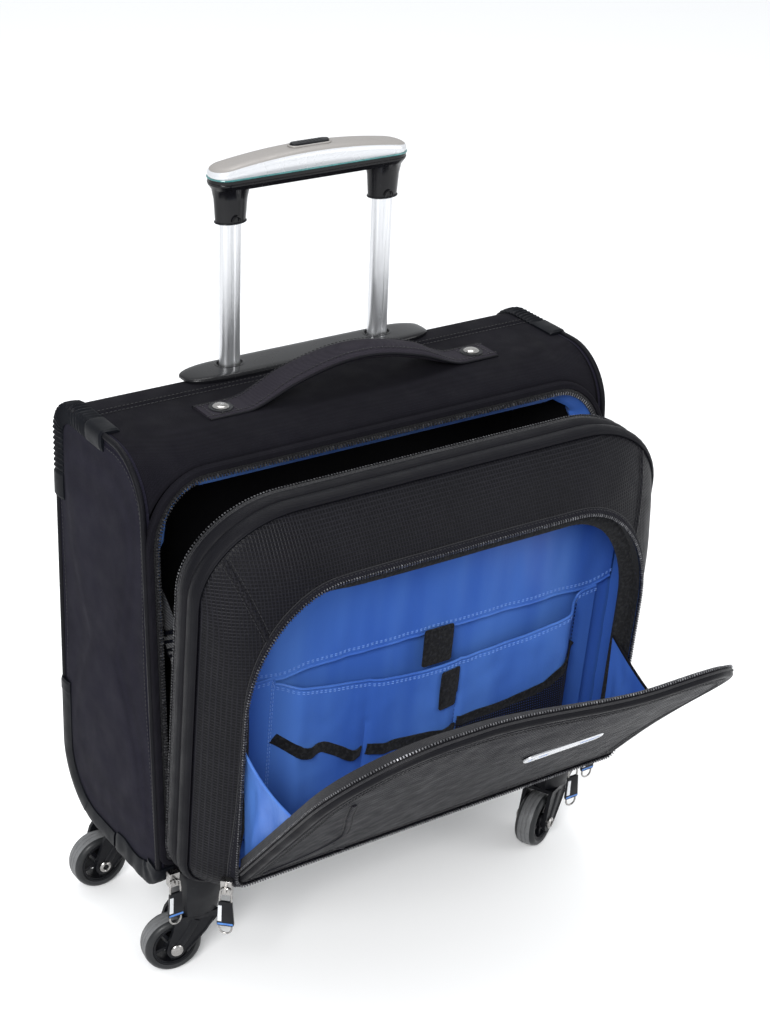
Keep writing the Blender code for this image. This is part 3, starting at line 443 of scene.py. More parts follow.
def make_finishes():
    """Every material of the case, by a short name."""
    f = {}
    body = fabric("case_cloth", (0.0048, 0.0044, 0.0088), (0.0100, 0.0092, 0.0170), 0.0011)
    f["cloth"] = body.material
    # The case cloth made darker as painted shade, used for the top cover, the base cover and the front
    # border.
    f["cloth_painted_shade"] = fabric(
        "cloth_painted_shade", (0.0030, 0.0028, 0.0044), (0.0062, 0.0057, 0.0086), 0.0011, 0.88, 0.0
    ).material
    f["handle_cloth"] = fabric(
        "handle_cloth", (0.0130, 0.0115, 0.0160), (0.0260, 0.0235, 0.0300), 0.0011, 0.85, 0.0
    ).material
    f["band"] = fabric(
        "band_cloth", (0.0020, 0.0020, 0.0032), (0.0046, 0.0045, 0.0068), 0.0008, 0.5, 0.0, 0.2, gloss=0.09
    ).material

    ripstop = Finish(
        "ripstop", (0.0018, 0.0017, 0.0028), 0.42, Specular_IOR_Level=0.09
    )
    lines = ripstop.math(
        "MAXIMUM", ripstop.ridge(ripstop.x, 0.0024, 5.0), ripstop.ridge(ripstop.z, 0.0024, 5.0)
    )
    threads = ripstop.weave(0.0008)
    ripstop.tint(ripstop.span(lines, 0.1, 1.0, 0.0, 0.85), (0.0090, 0.0088, 0.0120))
    ripstop.tint(ripstop.span(ripstop.noise(22), 0.35, 0.75, 0.0, 0.35), (0.0012, 0.0012, 0.0018))
    ripstop.tint(ripstop.span(ripstop.noise(800), 0.55, 0.8, 0.0, 0.2), (0.04, 0.04, 0.045))
    ripstop.rough(ripstop.noise(70), 0.36, 0.48)
    ripstop.bump(lines, 0.0003, 0.7).bump(threads, 0.0001, 0.3).bump(ripstop.noise(35), 0.001, 0.35)
    f["ripstop"] = ripstop.material

    twill = Finish(
        "twill", (0.0042, 0.0042, 0.0066), 0.55, Specular_IOR_Level=0.09
    )
    slant = twill.math("ADD", twill.x, twill.math("MULTIPLY", twill.z, 0.8))
    rows = twill.wave(slant, 0.0021)
    twill.tint(twill.span(rows, 0.2, 0.95, 0.0, 0.8), (0.0090, 0.0090, 0.0130))
    twill.tint(twill.span(twill.noise(18), 0.35, 0.75, 0.0, 0.3), (0.0042, 0.0042, 0.0056))
    twill.rough(twill.noise(80), 0.5, 0.66)
    twill.bump(rows, 0.00035, 0.8).bump(twill.weave(0.0007), 0.0001, 0.5).bump(twill.noise(30), 0.001, 0.3)
    f["twill"] = twill.material

    satin = Finish(
        "satin_blue",
        (0.034, 0.100, 0.370),
        0.42,
        Sheen_Weight=0.06,
        Sheen_Roughness=0.35,
        Sheen_Tint=(0.45, 0.62, 1.0, 1.0),
        Specular_IOR_Level=0.25,
    )
    fold_bump_and_painted_light = satin.noise(9, (2.6, 2.6, 0.42), 2.0)
    # Painted light and shade of the folds: the noise that bumps the satin also makes its colour lighter along
    # the raised folds and darker between them.
    satin.tint(satin.span(fold_bump_and_painted_light, 0.42, 0.68, 0.0, 0.75), (0.070, 0.172, 0.470))
    satin.tint(satin.span(satin.wave(satin.z, 0.0007), 0.5, 1.0, 0.0, 0.20), (0.085, 0.20, 0.52))
    satin.rough(satin.noise(120, (4, 4, 0.5)), 0.36, 0.50)
    satin.bump(fold_bump_and_painted_light, 0.006, 0.35).bump(satin.noise(600, (1, 1, 0.3)), 0.00012, 0.6)
    f["satin"] = satin.material

    f["lining"] = fabric(
        "dark_lining", (0.0028, 0.0028, 0.0036), (0.0064, 0.0064, 0.0078), 0.0009, 0.9, 0.02, 0.2
    ).material

    web = Finish("webbing", (0.0065, 0.0065, 0.0080), 0.6, Sheen_Weight=0.08, Specular_IOR_Level=0.3)
    chevron = web.math("PINGPONG", web.math("ADD", web.x, 1.0), 0.0045)
    ribs = web.wave(web.math("ADD", web.z, chevron), 0.0022)
    web.tint(web.span(ribs, 0.3, 0.9, 0.0, 0.8), (0.042, 0.044, 0.050))
    web.rough(web.noise(300), 0.6, 0.8)
    web.bump(ribs, 0.0004, 0.9)
    f["webbing"] = web.material

    tape = Finish("zip_tape", (0.0048, 0.0048, 0.0062), 0.6, Sheen_Weight=0.06, Specular_IOR_Level=0.25)
    knit = tape.math("MULTIPLY", tape.math("ADD", tape.wave(tape.x, 0.0009), tape.wave(tape.z, 0.0009)), 0.5)
    tape.tint(tape.span(knit, 0.3, 0.9, 0.0, 0.7), (0.0150, 0.0150, 0.0180))
    tape.rough(tape.noise(200), 0.5, 0.7)
    tape.bump(knit, 0.00025, 0.8)
    f["tape"] = tape.material

    felt = Finish(
        "binding", (
            0.0040, 0.0040, 0.0044
        ), 0.95, Sheen_Weight=0.05, Sheen_Roughness=0.6, Specular_IOR_Level=0.1
    )
    tufts = felt.noise(420, (1, 1, 1), 4.0)
    felt.tint(felt.span(tufts, 0.45, 0.72, 0.0, 0.9), (0.0200, 0.0200, 0.0205))
    felt.bump(tufts, 0.0008, 0.9)
    felt.rough(tufts, 0.85, 1.0)
    f["felt"] = felt.material

    mesh = Finish("mesh_pocket", (0.0036, 0.0040, 0.0060), 0.7, Sheen_Weight=0.04, Specular_IOR_Level=0.15)
    holes = mesh.math("MULTIPLY", mesh.ridge(mesh.x, 0.0021, 2.0), mesh.ridge(mesh.z, 0.0021, 2.0))
    mesh.tint(mesh.span(holes, 0.30, 0.65, 0.0, 1.0), (0.010, 0.030, 0.130))
    mesh.bump(mesh.math("SUBTRACT", 1.0, holes), 0.0004, 1.0)
    mesh.rough(mesh.noise(300), 0.6, 0.8)
    f["mesh"] = mesh.material

    thread = Finish(
        "black_thread", (0.0070, 0.0070, 0.0085), 0.55, Sheen_Weight=0.05, Specular_IOR_Level=0.25
    )
    thread.bump(thread.noise(1500), 0.0001, 0.8).rough(thread.noise(400), 0.45, 0.65)
    f["thread"] = thread.material
    pale = Finish("pale_thread", (0.10, 0.22, 0.55), 0.6, Sheen_Weight=0.3)
    pale.tint(pale.span(pale.noise(700), 0.4, 0.7, 0.0, 0.7), (0.11, 0.24, 0.56))
    pale.bump(pale.noise(1500), 0.0001, 0.8).rough(pale.noise(400), 0.5, 0.7)
    f["pale_thread"] = pale.material

    rubber = Finish("guard_moulded", (0.0022, 0.0026, 0.0040), 0.42, Specular_IOR_Level=0.08)
    rubber.tint(rubber.span(rubber.noise(30), 0.4, 0.7, 0.0, 0.5), (0.0060, 0.0070, 0.0098))
    rubber.tint(rubber.span(rubber.noise(500, detail=3.0), 0.6, 0.8, 0.0, 0.35), (0.014, 0.016, 0.019))
    rubber.rough(rubber.noise(90), 0.40, 0.58)
    rubber.bump(rubber.noise(1400), 0.00008, 0.6)
    f["rubber"] = rubber.material

    gloss = Finish("gloss_black", (0.0035, 0.0035, 0.0045), 0.22, Specular_IOR_Level=0.2, Coat_Weight=0.04)
    gloss.rough(gloss.noise(40), 0.18, 0.30)
    gloss.bump(gloss.noise(25), 0.0002, 0.2)
    gloss.tint(gloss.span(gloss.noise(900), 0.68, 0.8, 0.0, 0.5), (0.03, 0.03, 0.032))
    f["gloss"] = gloss.material

    black = Finish("moulded_black", (0.0034, 0.0036, 0.0050), 0.36, Specular_IOR_Level=0.16)
    black.tint(black.span(black.noise(60), 0.4, 0.7, 0.0, 0.5), (0.0100, 0.0110, 0.0130))
    black.tint(black.span(black.noise(700, detail=3.0), 0.62, 0.8, 0.0, 0.4), (0.05, 0.05, 0.052))
    black.rough(black.noise(110), 0.34, 0.50)
    black.bump(black.noise(1600), 0.00008, 0.7)
    f["black"] = black.material

    tube = Finish("brushed_tube", (0.72, 0.73, 0.75), 0.38, Metallic=1.0)
    grain = tube.noise(900, (1, 1, 0.02), 2.0)
    tube.tint(tube.span(grain, 0.35, 0.65, 0.0, 0.5), (0.60, 0.61, 0.63))
    tube.rough(grain, 0.34, 0.46)
    tube.bump(grain, 0.00005, 0.5)
    f["tube"] = tube.material

    silver = Finish("silver_paint", (0.52, 0.53, 0.55), 0.26, Metallic=0.35, Coat_Weight=0.3)
    silver.tint(silver.span(silver.noise(1800), 0.5, 0.7, 0.0, 0.35), (0.60, 0.605, 0.625))
    silver.rough(silver.noise(60), 0.22, 0.32)
    silver.bump(silver.noise(1800), 0.00003, 0.4)
    f["silver"] = silver.material
    matte = Finish("matt_silver", (0.225, 0.212, 0.202), 0.50, Metallic=0.2, Specular_IOR_Level=0.3)
    matte.tint(matte.span(matte.noise(1500), 0.5, 0.7, 0.0, 0.35), (0.300, 0.285, 0.270))
    matte.rough(matte.noise(60), 0.42, 0.58)
    matte.bump(matte.noise(1500), 0.00005, 0.5)
    f["matte"] = matte.material

    nickel = Finish("nickel", (0.34, 0.33, 0.32), 0.24, Metallic=1.0)
    nickel.tint(nickel.span(nickel.noise(140), 0.4, 0.75, 0.0, 0.5), (0.18, 0.175, 0.17))
    nickel.rough(nickel.noise(220), 0.18, 0.34)
    nickel.bump(nickel.noise(500), 0.00004, 0.5)
    f["nickel"] = nickel.material
    teeth = Finish("zip_teeth", (0.060, 0.060, 0.066), 0.30, Metallic=0.75)
    teeth.tint(teeth.span(teeth.noise(500), 0.45, 0.7, 0.0, 0.8), (0.22, 0.22, 0.23))
    teeth.rough(teeth.noise(300), 0.22, 0.40)
    f["teeth"] = teeth.material

    tread = Finish("tyre_tread", (0.125, 0.127, 0.130), 0.50, Specular_IOR_Level=0.3)
    tread.tint(tread.span(tread.noise(55), 0.4, 0.7, 0.0, 0.6), (0.085, 0.087, 0.089))
    tread.tint(tread.span(tread.noise(260, detail=4.0), 0.55, 0.75, 0.0, 0.6), (0.060, 0.059, 0.058))
    tread.rough(tread.noise(120), 0.42, 0.62)
    tread.bump(tread.noise(420, detail=4.0), 0.0003, 0.5)
    f["tread"] = tread.material
    wall = Finish("tyre_side", (0.016, 0.017, 0.018), 0.38, Specular_IOR_Level=0.2)
    wall.tint(wall.span(wall.noise(70), 0.4, 0.7, 0.0, 0.6), (0.028, 0.028, 0.030))
    wall.rough(wall.noise(120), 0.32, 0.50)
    wall.bump(wall.noise(600), 0.0001, 0.5)
    f["tyre_side"] = wall.material

    for name, colour, light in (
        ("blue_line", (0.03, 0.16, 0.38), (0.06, 0.26, 0.52)),
        ("teal_line", (0.02, 0.12, 0.12), (0.04, 0.20, 0.20)),
        ("blue_enamel", (0.02, 0.10, 0.34), (0.05, 0.20, 0.50)),
    ):
        made = Finish(name, colour, 0.3, Coat_Weight=0.4)
        made.tint(made.span(made.noise(300), 0.4, 0.7, 0.0, 0.6), light)
        made.rough(made.noise(200), 0.22, 0.36)
        f[name] = made.material
    return f


FIN = make_finishes()


# ---------------------------------------------------------------- camera, floor and light


def make_camera():
    """The photograph's viewpoint, placed from the case's frame."""
    az, el, roll = (math.radians(a) for a in (-34.645, 26.651, 2.483))
    back = Vector((math.sin(az) * math.cos(el), -math.cos(az) * math.cos(el), math.sin(el)))
    right = (-back).cross(Vector((0, 0, 1))).normalized()
    up = right.cross(-back)
    across = right * math.cos(roll) + up * math.sin(roll)
    over = up * math.cos(roll) - right * math.sin(roll)
    turn = Matrix((across, over, back)).transposed().to_4x4()
    data = bpy.data.cameras.new("camera")
    data.sensor_fit = "AUTO"
    data.sensor_width = 36.0
    data.lens = 74.88
    data.clip_start, data.clip_end = 0.05, 60.0
    camera = bpy.data.objects.new("camera", data)
    bpy.context.scene.collection.objects.link(camera)
    camera.matrix_world = Matrix.Translation(CASE @ Vector((-0.8187, -1.3193, 1.0638))) @ turn
    bpy.context.scene.camera = camera


def make_floor():
    shape = Shape().grid([[(x, y, 0.0) for x in (-12, 12)] for y in (-12, 12)])
    mesh = bpy.data.meshes.new("floor")
    mesh.from_pydata(shape.points, [], shape.faces)
    pale = Finish("pale_floor", (0.93, 0.93, 0.93), 0.9)
    pale.tint(pale.span(pale.noise(2), 0.3, 0.7, 0.0, 0.2), (0.95, 0.95, 0.95))
    mesh.materials.append(pale.material)
    floor = bpy.data.objects.new("floor", mesh)
    bpy.context.scene.collection.objects.link(floor)


def make_light(name, at, aim, size, power, colour=(1, 1, 1)):
    data = bpy.data.lights.new(name, "AREA")
    data.shape = "RECTANGLE"
    data.size, data.size_y = size
    data.energy = power
    data.color = colour
    lamp = bpy.data.objects.new(name, data)
    bpy.context.scene.collection.objects.link(lamp)
    lamp.location = at
    lamp.rotation_mode = "QUATERNION"
    lamp.rotation_quaternion = (Vector(aim) - Vector(at)).to_track_quat("-Z", "Y")


def make_studio():
    scene = bpy.context.scene
    scene.view_settings.view_transform = "Standard"
    scene.world = scene.world or bpy.data.worlds.new("studio")
    scene.world.use_nodes = True
    sky = scene.world.node_tree.nodes["Background"]
    sky.inputs["Color"].default_value = (0.96, 0.98, 1.0, 1.0)
    sky.inputs["Strength"].default_value = 0.95
    make_light("key", (-1.5, -1.5, 1.7), (0, 0, 0.25), (0.9, 0.9), 62)
    make_light("top", (0.3, 0.7, 2.3), (0, 0, 0.3), (1.2, 0.8), 22)
    make_light("fill", (1.8, -1.6, 1.0), (0, 0, 0.2), (1.2, 1.2), 14)


make_camera()
make_floor()
make_studio()


# ---------------------------------------------------------------- case body


def pad_rise(u, v, e, thick, crown, seed, roll, grooves):
    """How high a padded face stands at a point that lies e metres in from its edge."""
    lip = roll - math.sqrt(max(0.0, roll**2 - (roll - min(e, roll)) ** 2))
    wave = waves(u, v, 9, seed) * 0.0009 + waves(u, v, 26, seed + 5) * 0.0002
    dip = sum(deep * math.exp(-(((e - at) / 0.0007) ** 2)) for at, deep in grooves)
    rise = crown * (1 - math.exp(-((e / 0.05) ** 2)))
    return thick - lip + rise + wave * min(1.0, e / 0.02) - dip


def cushion(
    shape, loop, place, thick, crown, seed, edges, roll=0.0035, look=0, back=0, grooves=(),
    rim=(0.0, 0)
):
    """A crowned pad over a flat back; place(u, v, w) puts a point, with w outwards from the back.

    rim is (width, look) of a band along the edge. Rings stop short of the middle of a narrow pad,
    so that they never cross it.
    """
    centre = loop.mean(0)
    away = centre - loop
    toward = away / np.linalg.norm(away, axis=1, keepdims=True)
    reach = 0.8 * np.linalg.norm(away, axis=1).min()
    edges = [e for e in edges if e < reach]

    def at_height(line, e):
        return [place(u, v, pad_rise(u, v, e, thick, crown, seed, roll, grooves)) for u, v in line]

    loops = [[place(u, v, 0.0) for u, v in line] for line in (loop + toward * 0.0015, loop)]
    looks = [back, rim[1] if rim[0] else look]
    for e in edges:
        loops.append(at_height(loop + toward * e, e))
        looks.append(rim[1] if e < rim[0] else look)
    inner = loop + toward * edges[-1]
    for f in np.linspace(0.93, 0.03, 16):
        loops.append(at_height(centre + (inner - centre) * f, edges[-1] + (1 - f) * 0.08))
        looks.append(look)
    shape.loft(loops, looks=looks)
    return toward


PAD_EDGES = (0.0, 0.0004, 0.0012, 0.0024, 0.0040, 0.0050, 0.0056, 0.0062, 0.0070, 0.0090)
PAD_EDGES += (0.0130, 0.0180, 0.0250, 0.0350, 0.0480, 0.0640, 0.0820)


def stitches(shape, path, up, look=0, closed=False, lift=0.0, step=0.0034):
    line = np.array(path, float) + np.array(up, float) * lift
    return shape.blocks(line, up, step, (0.0023, 0.0006, 0.0005), closed, look)


def make_side_panels():
    for side, sign in SIDES:
        loop = resample(side_profile(PANEL + SEAM), 0.005, True)

        def place(u, v, w, sign=sign):
            return (sign * (CASE_HALF - PANEL + w), u, v)

        shape = Shape()
        toward = cushion(
            shape, loop, place, PANEL, 0.0028, 3.0 + sign, PAD_EDGES, back=1, grooves=((0.0056, 0.0007),)
        )
        seam = [place(u, v, PANEL + 0.0001) for u, v in loop + toward * 0.0082]
        stitches(shape, seam, (sign, 0, 0), 2, True)
        obj = piece(
            f"side_pad_{side}",
            shape,
            CASE,
            "case",
            [FIN["cloth"], FIN["lining"], FIN["thread"]],
            (f"{side}_side_panel",),
        )
        cord = Shape().tube(
            [(sign * (CASE_HALF - 0.0004), u, v) for u, v in inset(loop, -0.0002)],
            0.0023,
            (sign, 0, 0),
            10,
            True,
        )
        piece(f"side_piping_{side}", cord, CASE, "case", [FIN["band"]])


def solid_sheet(name, shape, thick, matrix, body, finishes, stands_for=(), offset=-1.0, cut=()):
    """A sheet given its thickness by a modifier, with any holes cut through it."""
    obj = piece(name, shape, matrix, body, finishes, stands_for, 60)
    thicken = obj.modifiers.new("Thickness", "SOLIDIFY")
    thicken.thickness = thick
    thicken.offset = offset
    thicken.use_even_offset = True
    carve(obj, cut)
    return obj


def carve(obj, cutters):
    """Cuts each shape out of the object and keeps the result as its mesh."""
    tools = []
    for shape in cutters:
        mesh = bpy.data.meshes.new("cutter")
        mesh.from_pydata(shape.points, [], shape.faces)
        bm = bmesh.new()
        bm.from_mesh(mesh)
        bmesh.ops.recalc_face_normals(bm, faces=bm.faces)
        bm.to_mesh(mesh)
        bm.free()
        tool = bpy.data.objects.new("cutter", mesh)
        bpy.context.scene.collection.objects.link(tool)
        tool.matrix_world = obj.matrix_world.copy()
        cut = obj.modifiers.new("Cut", "BOOLEAN")
        cut.operation, cut.solver, cut.object = "DIFFERENCE", "EXACT", tool
        tools.append(tool)
    bpy.context.view_layer.update()
    made = bpy.data.meshes.new_from_object(obj.evaluated_get(bpy.context.evaluated_depsgraph_get()))
    obj.modifiers.clear()
    obj.data = made
    made.set_sharp_from_angle(angle=math.radians(40))
    for tool in tools:
        bpy.data.objects.remove(tool, do_unlink=True)


def oval_plug(size, gap, x, low, high):
    outline = oval((size[0] + 2 * gap, size[1] + 2 * gap), 8)
    return Shape().loft([[(u + x, v + TUBE_Y, z) for u, v in outline] for z in (low, high)])


OUTER_TUBE, MIDDLE_TUBE, INNER_TUBE = (0.0234, 0.0169), (0.0202, 0.0137), (0.0170, 0.0105)


def make_top_panel():
    front = front_y(FRONT_TOP_Z) + PANEL + SEAM
    start = front + FRONT_TOP_R
    line = [(y, z, 0.0) for y, z in arc(TOP_ROLL, BACK_TOP_R, 0, 90, 9)]
    flat = [-0.030, -0.036, -0.040, -0.0418, -0.0424, -0.0430, -0.0436, -0.0442, -0.046, -0.050]
    flat += list(np.linspace(-0.056, start + 0.004, 6))
    line += [(y, CASE_TOP - 0.0008 * math.exp(-(((y + 0.043) / 0.0007) ** 2)), 0.0) for y in flat]
    for t in np.radians(np.linspace(0, 90, 13)):
        fall = 1 - math.cos(t)
        y = start - FRONT_TOP_R * math.sin(t)
        line.append((y, CASE_TOP - (CASE_TOP - FRONT_TOP_Z) * fall, fall))
    rx, rz = OPENING_CORNER
    half = np.r_[
        np.linspace(0, 0.145, 15),
        0.145 + (STRIP_HALF - 0.145) * np.sin(np.linspace(0.1, math.pi / 2, 14))
    ]
    xs = np.r_[-half[::-1], half[1:]]
    rows = []
    for y, z, fall in line:
        row = []
        for x in xs:
            over = max(0.0, (abs(x) - (CASE_HALF - rx)) / rx)
            drop = rz * (1 - math.sqrt(max(0.0, 1 - min(over, 1.0) ** 2))) * fall
            edge = min(1.0, (STRIP_HALF - abs(x)) / 0.03)
            puff = (0.0010 + 0.0012 * waves(x, y, 16, 2.0)) * edge * min(1.0, max(0, -y - 0.02) / 0.02)
            row.append((x, y, z - drop + puff * (1 - fall)))
        rows.append(row)
    slots = [oval_plug(OUTER_TUBE, SEAM, side * TUBE_X, CASE_TOP - 0.03, CASE_TOP + 0.02) for side in (-1, 1)]
    obj = solid_sheet(
        "top_cover",
        Shape().grid(rows),
        PANEL,
        CASE,
        "case",
        [FIN["cloth_painted_shade"]],
        ("top_panel",),
        cut=slots,
    )
    threads = Shape()
    for y in (-0.0400, -0.0462):
        stitches(threads, [(x, y, CASE_TOP + 0.0012) for x in np.linspace(-0.19, 0.19, 60)], (0, 0, 1))
    piece("top_stitching", threads, CASE, "case", [FIN["thread"]])


def make_back_and_base():
    low, high = CASE_BOTTOM + BACK_BOTTOM_R + SEAM, CASE_TOP - BACK_TOP_R - 3 * SEAM
    loop = resample(arched(STRIP_HALF, low, high, (0.003, 0.003), 0.003, 3), 0.006, True)

    def place(u, v, w):
        return (u, -PANEL + w, v)

    shape = Shape()
    toward = cushion(shape, loop, place, PANEL, 0.0020, 9.0, PAD_EDGES, 0.0025, grooves=((0.0056, 0.0007),))
    stitches(shape, [place(u, v, PANEL) for u, v in loop + toward * 0.0085], (0, 1, 0), 1, True)
    for x in (-0.104, 0.104):
        for off in (-0.0022, 0.0022):
            seam = []
            for z in np.linspace(low + 0.03, high - 0.02, 50):
                e = min(STRIP_HALF - abs(x), z - low, high - z) * 1.2
                seam.append(
                    place(x + off, z, pad_rise(x + off, z, e, PANEL, 0.0020, 9.0, 0.0025, ()) + 0.0002)
                )
            stitches(shape, seam, (0, 1, 0), 1)
    obj = piece(
        "back_pad", shape, CASE, "case", [FIN["cloth"], FIN["thread"]], ("back_panel",)
    )

    r = FRONT_BOTTOM_R
    foot = front_y(FRONT_LOW[1]) + PANEL + SEAM
    nose = (foot + r, CASE_BOTTOM + r)
    outer = arc(LOW_ROLL, BACK_BOTTOM_R, 0, -90, 14) + arc(nose, r, 270, 180, 9)
    inner = arc(LOW_ROLL, BACK_BOTTOM_R - PANEL, 0, -90, 14) + arc(nose, r - PANEL, 270, 180, 9)
    loops = []
    for x in np.linspace(-STRIP_HALF, STRIP_HALF, 31):
        edge = min(1.0, (STRIP_HALF - abs(x)) / 0.02)
        line = []
        for y, z in outer:
            line.append((x, y, z + (0.0006 + 0.0010 * waves(x, y, 18, 4.0)) * edge))
        loops.append(line + [(x, y, z) for y, z in reversed(inner)])
    base = Shape().loft(loops)
    obj = piece("base_cover", base, CASE, "case", [FIN["cloth_painted_shade"]], ("base_panel",))

    low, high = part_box("back_lining")
    rows = []
    for z in np.linspace(low.z, high.z, 22):
        rows.append(
            [(x, low.y + 0.0006 * waves(x, z, 15, 7.0) - 0.0004, z) for x in np.linspace(low.x, high.x, 40)]
        )
    obj = solid_sheet(
        "back_lining_sheet",
        Shape().grid(rows),
        0.0012,
        HERE,
        "case",
        [FIN["lining"]],
        ("back_lining",),
        offset=0.0,
    )


FRONT_NORMAL = np.array([0, -1, FRONT_SLOPE]) / math.hypot(1, FRONT_SLOPE)
ZIP_STEP, ZIP_TOOTH = 0.0024, (0.0013, 0.0032, 0.0014)


def make_front_border():
    """The front edge with the case's half of the zip, and the blue facing behind it."""
    section = [(0.0, 0.0052), (0.0, 0.0018), (0.0006, 0.0006), (0.0016, 0.0), (0.0042, -0.0002)]
    section += [(0.0050, 0.0010), (0.0054, 0.0012), (0.0084, 0.0014), (0.0090, 0.0020), (0.0090, 0.0052)]
    loops = [case_front(opening(by), deep) for by, deep in section]
    shape = Shape().loft(loops, ring=True, looks=[0] * 5 + [1] * 3 + [0, 0])
    line = case_front(opening(0.0084), 0.0006)
    shape.blocks(line, FRONT_NORMAL, ZIP_STEP, ZIP_TOOTH, True, 2)
    stitches(shape, case_front(opening(0.0060), 0.0008), FRONT_NORMAL, 3, True)
    piece(
        "front_border",
        shape,
        CASE,
        "case",
        [FIN["cloth_painted_shade"], FIN["tape"], FIN["teeth"], FIN["thread"]],
        ("front_frame",),
    )
    base = opening(0.0)
    loops = []
    for by, deep, wild in (
        (0.0088, 0.0022, 0.0), (0.0100, 0.0050, 0.2), (0.0150, 0.0080, 0.8), (0.0185, 0.0125, 1.0),
        (0.0170, 0.0180, 1.0)
    ):
        loop = []
        for i, (x, z) in enumerate(opening(by)):
            bx, bz = base[i]
            slack = 1.0 if bz > 0.36 else 0.35
            bunch = waves(bx, bz, 42, 1.0) * 0.0050 * wild * slack
            fold = abs(waves(bx, bz, 70, 6.0)) * 0.0060 * wild * slack
            pull = (1 - slack) * max(0.0, by - 0.0100) * 0.75
            run = np.array((x - bx, z - bz)) / max(by, 1e-6)
            x, z = x + run[0] * (bunch - pull), z + run[1] * (bunch - pull)
            loop.append((x, front_y(z) + deep + fold, z))
        loops.append(loop)
    facing = solid_sheet(
        "front_facing",
        Shape().loft(loops, caps=False),
        0.0006,
        CASE,
        "case",
        [FIN["satin"]],
        offset=0.0,
    )


def make_guards():
    wrap = [(0.0124, 0.0004), (0.0124, 0.0016), (0.0105, 0.0024), (0.0060, 0.0027), (0.0010, 0.0027)]
    wrap += [(-0.0014, 0.0020), (-0.0026, 0.0002), (-0.0028, -0.0040), (-0.0026, -0.0090)]
    wrap += [(-0.0016, -0.0122), (-0.0004, -0.0124), (-0.0004, -0.0010), (0.0010, 0.0004)]
    nose_y = front_y(FRONT_LOW[1]) + PANEL + SEAM
    nose = (nose_y + FRONT_BOTTOM_R, CASE_BOTTOM + FRONT_BOTTOM_R)
    upper = [(-0.078, CASE_TOP), (-0.052, CASE_TOP)] + arc(TOP_ROLL, BACK_TOP_R, 90, 0, 16)
    upper += [(0.0, 0.375), (0.0, 0.349)]
    rear = [(0.0, 0.190)] + arc(LOW_ROLL, BACK_BOTTOM_R, 0, -90, 24) + [(-0.084, CASE_BOTTOM)]
    front = [(-0.088, CASE_BOTTOM)] + arc(nose, FRONT_BOTTOM_R, -90, -176, 12)

    def ribbed(s, long):
        if s < 0.024 or s > long - 0.020:
            return 1.35 if 0.0015 < s < long - 0.0015 else 0.9
        return 0.95 + 0.42 * math.sin((s - 0.024) * 2 * math.pi / 0.0044)

    def smooth_end(s, long):
        return 1.25 if s < 0.010 and s > 0.001 else (0.85 if s > long - 0.05 else 1.0)

    def plain(s, long):
        return 1.0 + 0.12 * math.sin(s * 2 * math.pi / 0.016)

    for side, sign in SIDES:
        for kind, path, grow, extra in (
            ("upper", upper, ribbed, 0.0),
            ("rear", rear, smooth_end, 0.0),
            ("front", front, plain, 0.0030),
        ):
            line = resample(path, 0.0009)
            run = tangents(line, False)
            out = np.stack([-run[:, 1], run[:, 0]], 1)
            if kind == "front":
                out = -out
            if (out[len(out) // 2] @ (np.array([-0.08, 0.25]) - line[len(line) // 2])) > 0:
                out = -out
            long = 0.0009 * (len(line) - 1)
            loops = []
            for k, (p, o) in enumerate(zip(line, out)):
                rib = grow(k * 0.0009, long)
                loop = []
                for i, a in wrap:
                    a = 0.0004 + (a - 0.0004) * rib if a > 0.0004 else a
                    i = -0.0004 + (i + 0.0004) * rib if i < -0.0004 else i
                    if a < -0.008:
                        a -= extra * (1.0 + 0.5 * math.sin(k * 0.0009 * 2 * math.pi / 0.040))
                    loop.append((sign * (CASE_HALF - i), p[0] + o[0] * a, p[1] + o[1] * a))
                loops.append(loop)
            piece(
                f"{kind}_corner_guard_{side}",
                Shape().loft(loops),
                CASE,
                "case",
                [FIN["rubber"]],
                (f"{kind}_guard_{side}",),
                50,
            )


HANDLE_Y, HANDLE_BASE = -0.081, CASE_TOP + SEAM


